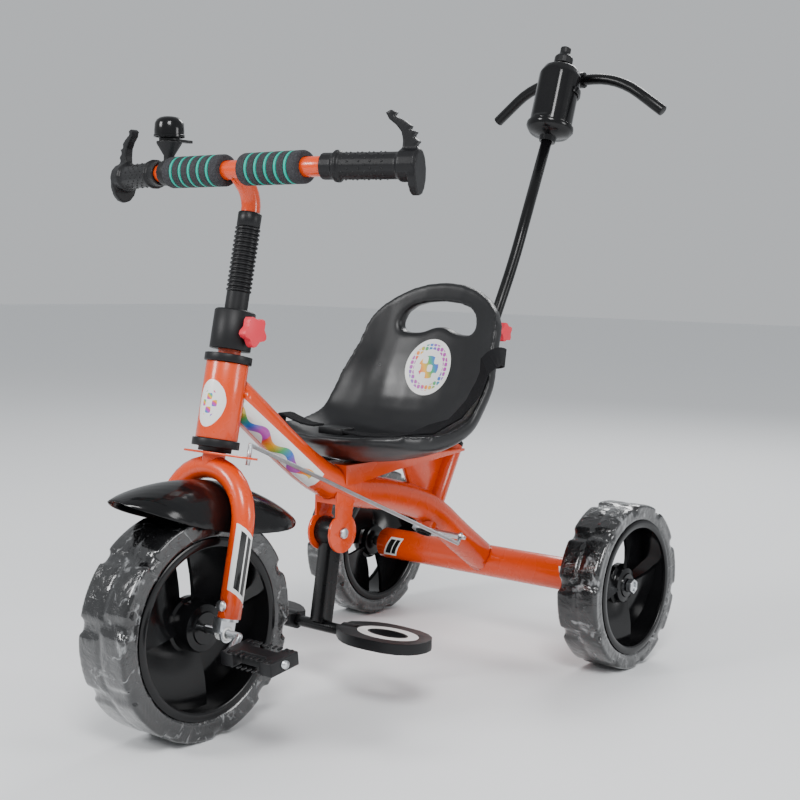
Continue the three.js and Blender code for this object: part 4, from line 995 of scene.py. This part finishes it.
class TRICYCLE_OT_pedals(bpy.types.Operator):
    """Builds the pedals and footrest pads"""

    bl_idname = "tricycle.pedals"
    bl_label = "Pedals and pads"

    def execute(self, context):
        for node in ("pedal_left", "pedal_right"):
            obj = cad_copy(node)
            round_edges(obj, 1.4 * MM, 2, 50)
            hub = Vector(joint(node + "_spin")["pos_m"])
            low, high = box(node)
            tilt = math.radians(8)
            rib = block((0.003, 0.0072, 0.0022), (0, 0, 0), bevel=0.0006, segments=1)
            level = Matrix.Translation(hub) @ Matrix.Rotation(tilt, 4, "X")
            places = []
            for row in range(9):
                x = low.x + 0.007 + row * (high.x - low.x - 0.014) / 8 - hub.x
                for edge in (-0.0165, 0.0165):
                    for face in (-0.0072, 0.0072):
                        places.append(level @ Matrix.Translation((x, edge, face)))
            smooth(join([obj, *copies(rib, places)]), 40)
            finish_piece(obj, node + "_ribbed", node, replaces=(node,))
        for node in ("footpad_left", "footpad_right"):
            obj = cad_copy(node)
            round_edges(obj, 2.4 * MM, 3, 50)
            smooth(obj, 40)
            finish_piece(obj, node + "_moulded", node, replaces=(node,))
        return {"FINISHED"}


class TRICYCLE_OT_bottle(bpy.types.Operator):
    """Builds the bottle with its domed shoulder and ribbed cap"""

    bl_idname = "tricycle.bottle"
    bl_label = "Bottle"

    def execute(self, context):
        for node, voxel in (("bottle", 1.6 * MM), ("bottle_cap", 0.9 * MM)):
            obj = cad_copy(node)
            soften(obj, voxel, 8)
            smooth(obj, 180)
            finish_piece(obj, node + "_moulded", node, replaces=(node,))
        return {"FINISHED"}


class TRICYCLE_OT_stage(bpy.types.Operator):
    """Adds the floor, the studio light and the camera"""

    bl_idname = "tricycle.stage"
    bl_label = "Stage"

    def execute(self, context):
        bpy.ops.object.select_all(action="DESELECT")
        bpy.ops.mesh.primitive_plane_add(size=30)
        floor = bpy.context.active_object
        floor.name = "studio_floor"
        grey = Finish("studio_floor", (0.86, 0.87, 0.88), 0.7)
        floor.data.materials.append(grey.material)

        world = bpy.data.worlds.new("studio")
        context.scene.world = world
        world.use_nodes = True
        world.node_tree.nodes["Background"].inputs["Color"].default_value = (0.9, 0.93, 0.96, 1)
        world.node_tree.nodes["Background"].inputs["Strength"].default_value = 0.62

        lights = (
            ("key", (1.5, -1.7, 2.4), 0.9, 62),
            ("fill", (-1.2, -2.6, 1.9), 0.8, 50),
            ("rim", (-0.6, 2.4, 2.2), 1.2, 40),
            ("side", (2.6, 0.8, 1.0), 0.8, 20),
        )
        for name, place, size, power in lights:
            bpy.ops.object.light_add(type="AREA", location=place)
            light = bpy.context.active_object
            light.name = "studio_" + name
            light.data.size = size
            light.data.energy = power
            direction = Vector((0, 0, 0.35)) - Vector(place)
            light.rotation_euler = direction.to_track_quat("-Z", "Y").to_euler()

        azimuth, elevation, roll = math.radians(38.43), math.radians(5.24), math.radians(1.27)
        flat = math.cos(elevation)
        back = Vector((math.sin(azimuth) * flat, -math.cos(azimuth) * flat, math.sin(elevation)))
        right = Vector((math.cos(azimuth), math.sin(azimuth), 0))
        up = right.cross(-back)
        across, rise = math.cos(roll), math.sin(roll)
        right, up = right * across + up * rise, up * across - right * rise
        bpy.ops.object.camera_add(location=(1.0908, STEER_FOOT.y - 1.0065, 0.5141))
        camera = bpy.context.active_object
        camera.rotation_euler = Matrix((right, up, back)).transposed().to_euler()
        camera.data.sensor_width = 36
        camera.data.lens = 60.67
        camera.data.clip_end = 100
        context.scene.camera = camera
        return {"FINISHED"}


class TRICYCLE_PT_workshop(bpy.types.Panel):
    """Lists the tricycle's settings and steps"""

    bl_idname = "TRICYCLE_PT_workshop"
    bl_label = "Tricycle"
    bl_space_type = "VIEW_3D"
    bl_region_type = "UI"
    bl_category = "Tricycle"

    def draw(self, context):
        for group in (context.scene.tricycle_colours, context.scene.tricycle_sizes):
            for key in group.__annotations__:
                self.layout.prop(group, key)
        for operator in OPERATORS:
            self.layout.operator(operator.bl_idname)


OPERATORS = (
    TRICYCLE_OT_cad_finishes,
    TRICYCLE_OT_smooth_parts,
    TRICYCLE_OT_wheels,
    TRICYCLE_OT_seat,
    TRICYCLE_OT_mudguard,
    TRICYCLE_OT_stem_bellows,
    TRICYCLE_OT_foams,
    TRICYCLE_OT_grips,
    TRICYCLE_OT_bell,
    TRICYCLE_OT_pedals,
    TRICYCLE_OT_bottle,
    TRICYCLE_OT_stage,
)
CLASSES = (TricycleColours, TricycleSizes, *OPERATORS, TRICYCLE_PT_workshop)


def register():
    """Adds the settings, the operators and the panel."""
    for cls in CLASSES:
        bpy.utils.register_class(cls)
    bpy.types.Scene.tricycle_colours = bpy.props.PointerProperty(type=TricycleColours)
    bpy.types.Scene.tricycle_sizes = bpy.props.PointerProperty(type=TricycleSizes)


def unregister():
    """Takes them away again."""
    del bpy.types.Scene.tricycle_sizes
    del bpy.types.Scene.tricycle_colours
    for cls in reversed(CLASSES):
        bpy.utils.unregister_class(cls)


def main():
    """Builds the whole tricycle."""
    register()
    bpy.ops.object.select_all(action="DESELECT")
    for operator in OPERATORS:
        group, name = operator.bl_idname.split(".")
        getattr(getattr(bpy.ops, group), name)()


if __name__ == "__main__":
    main()
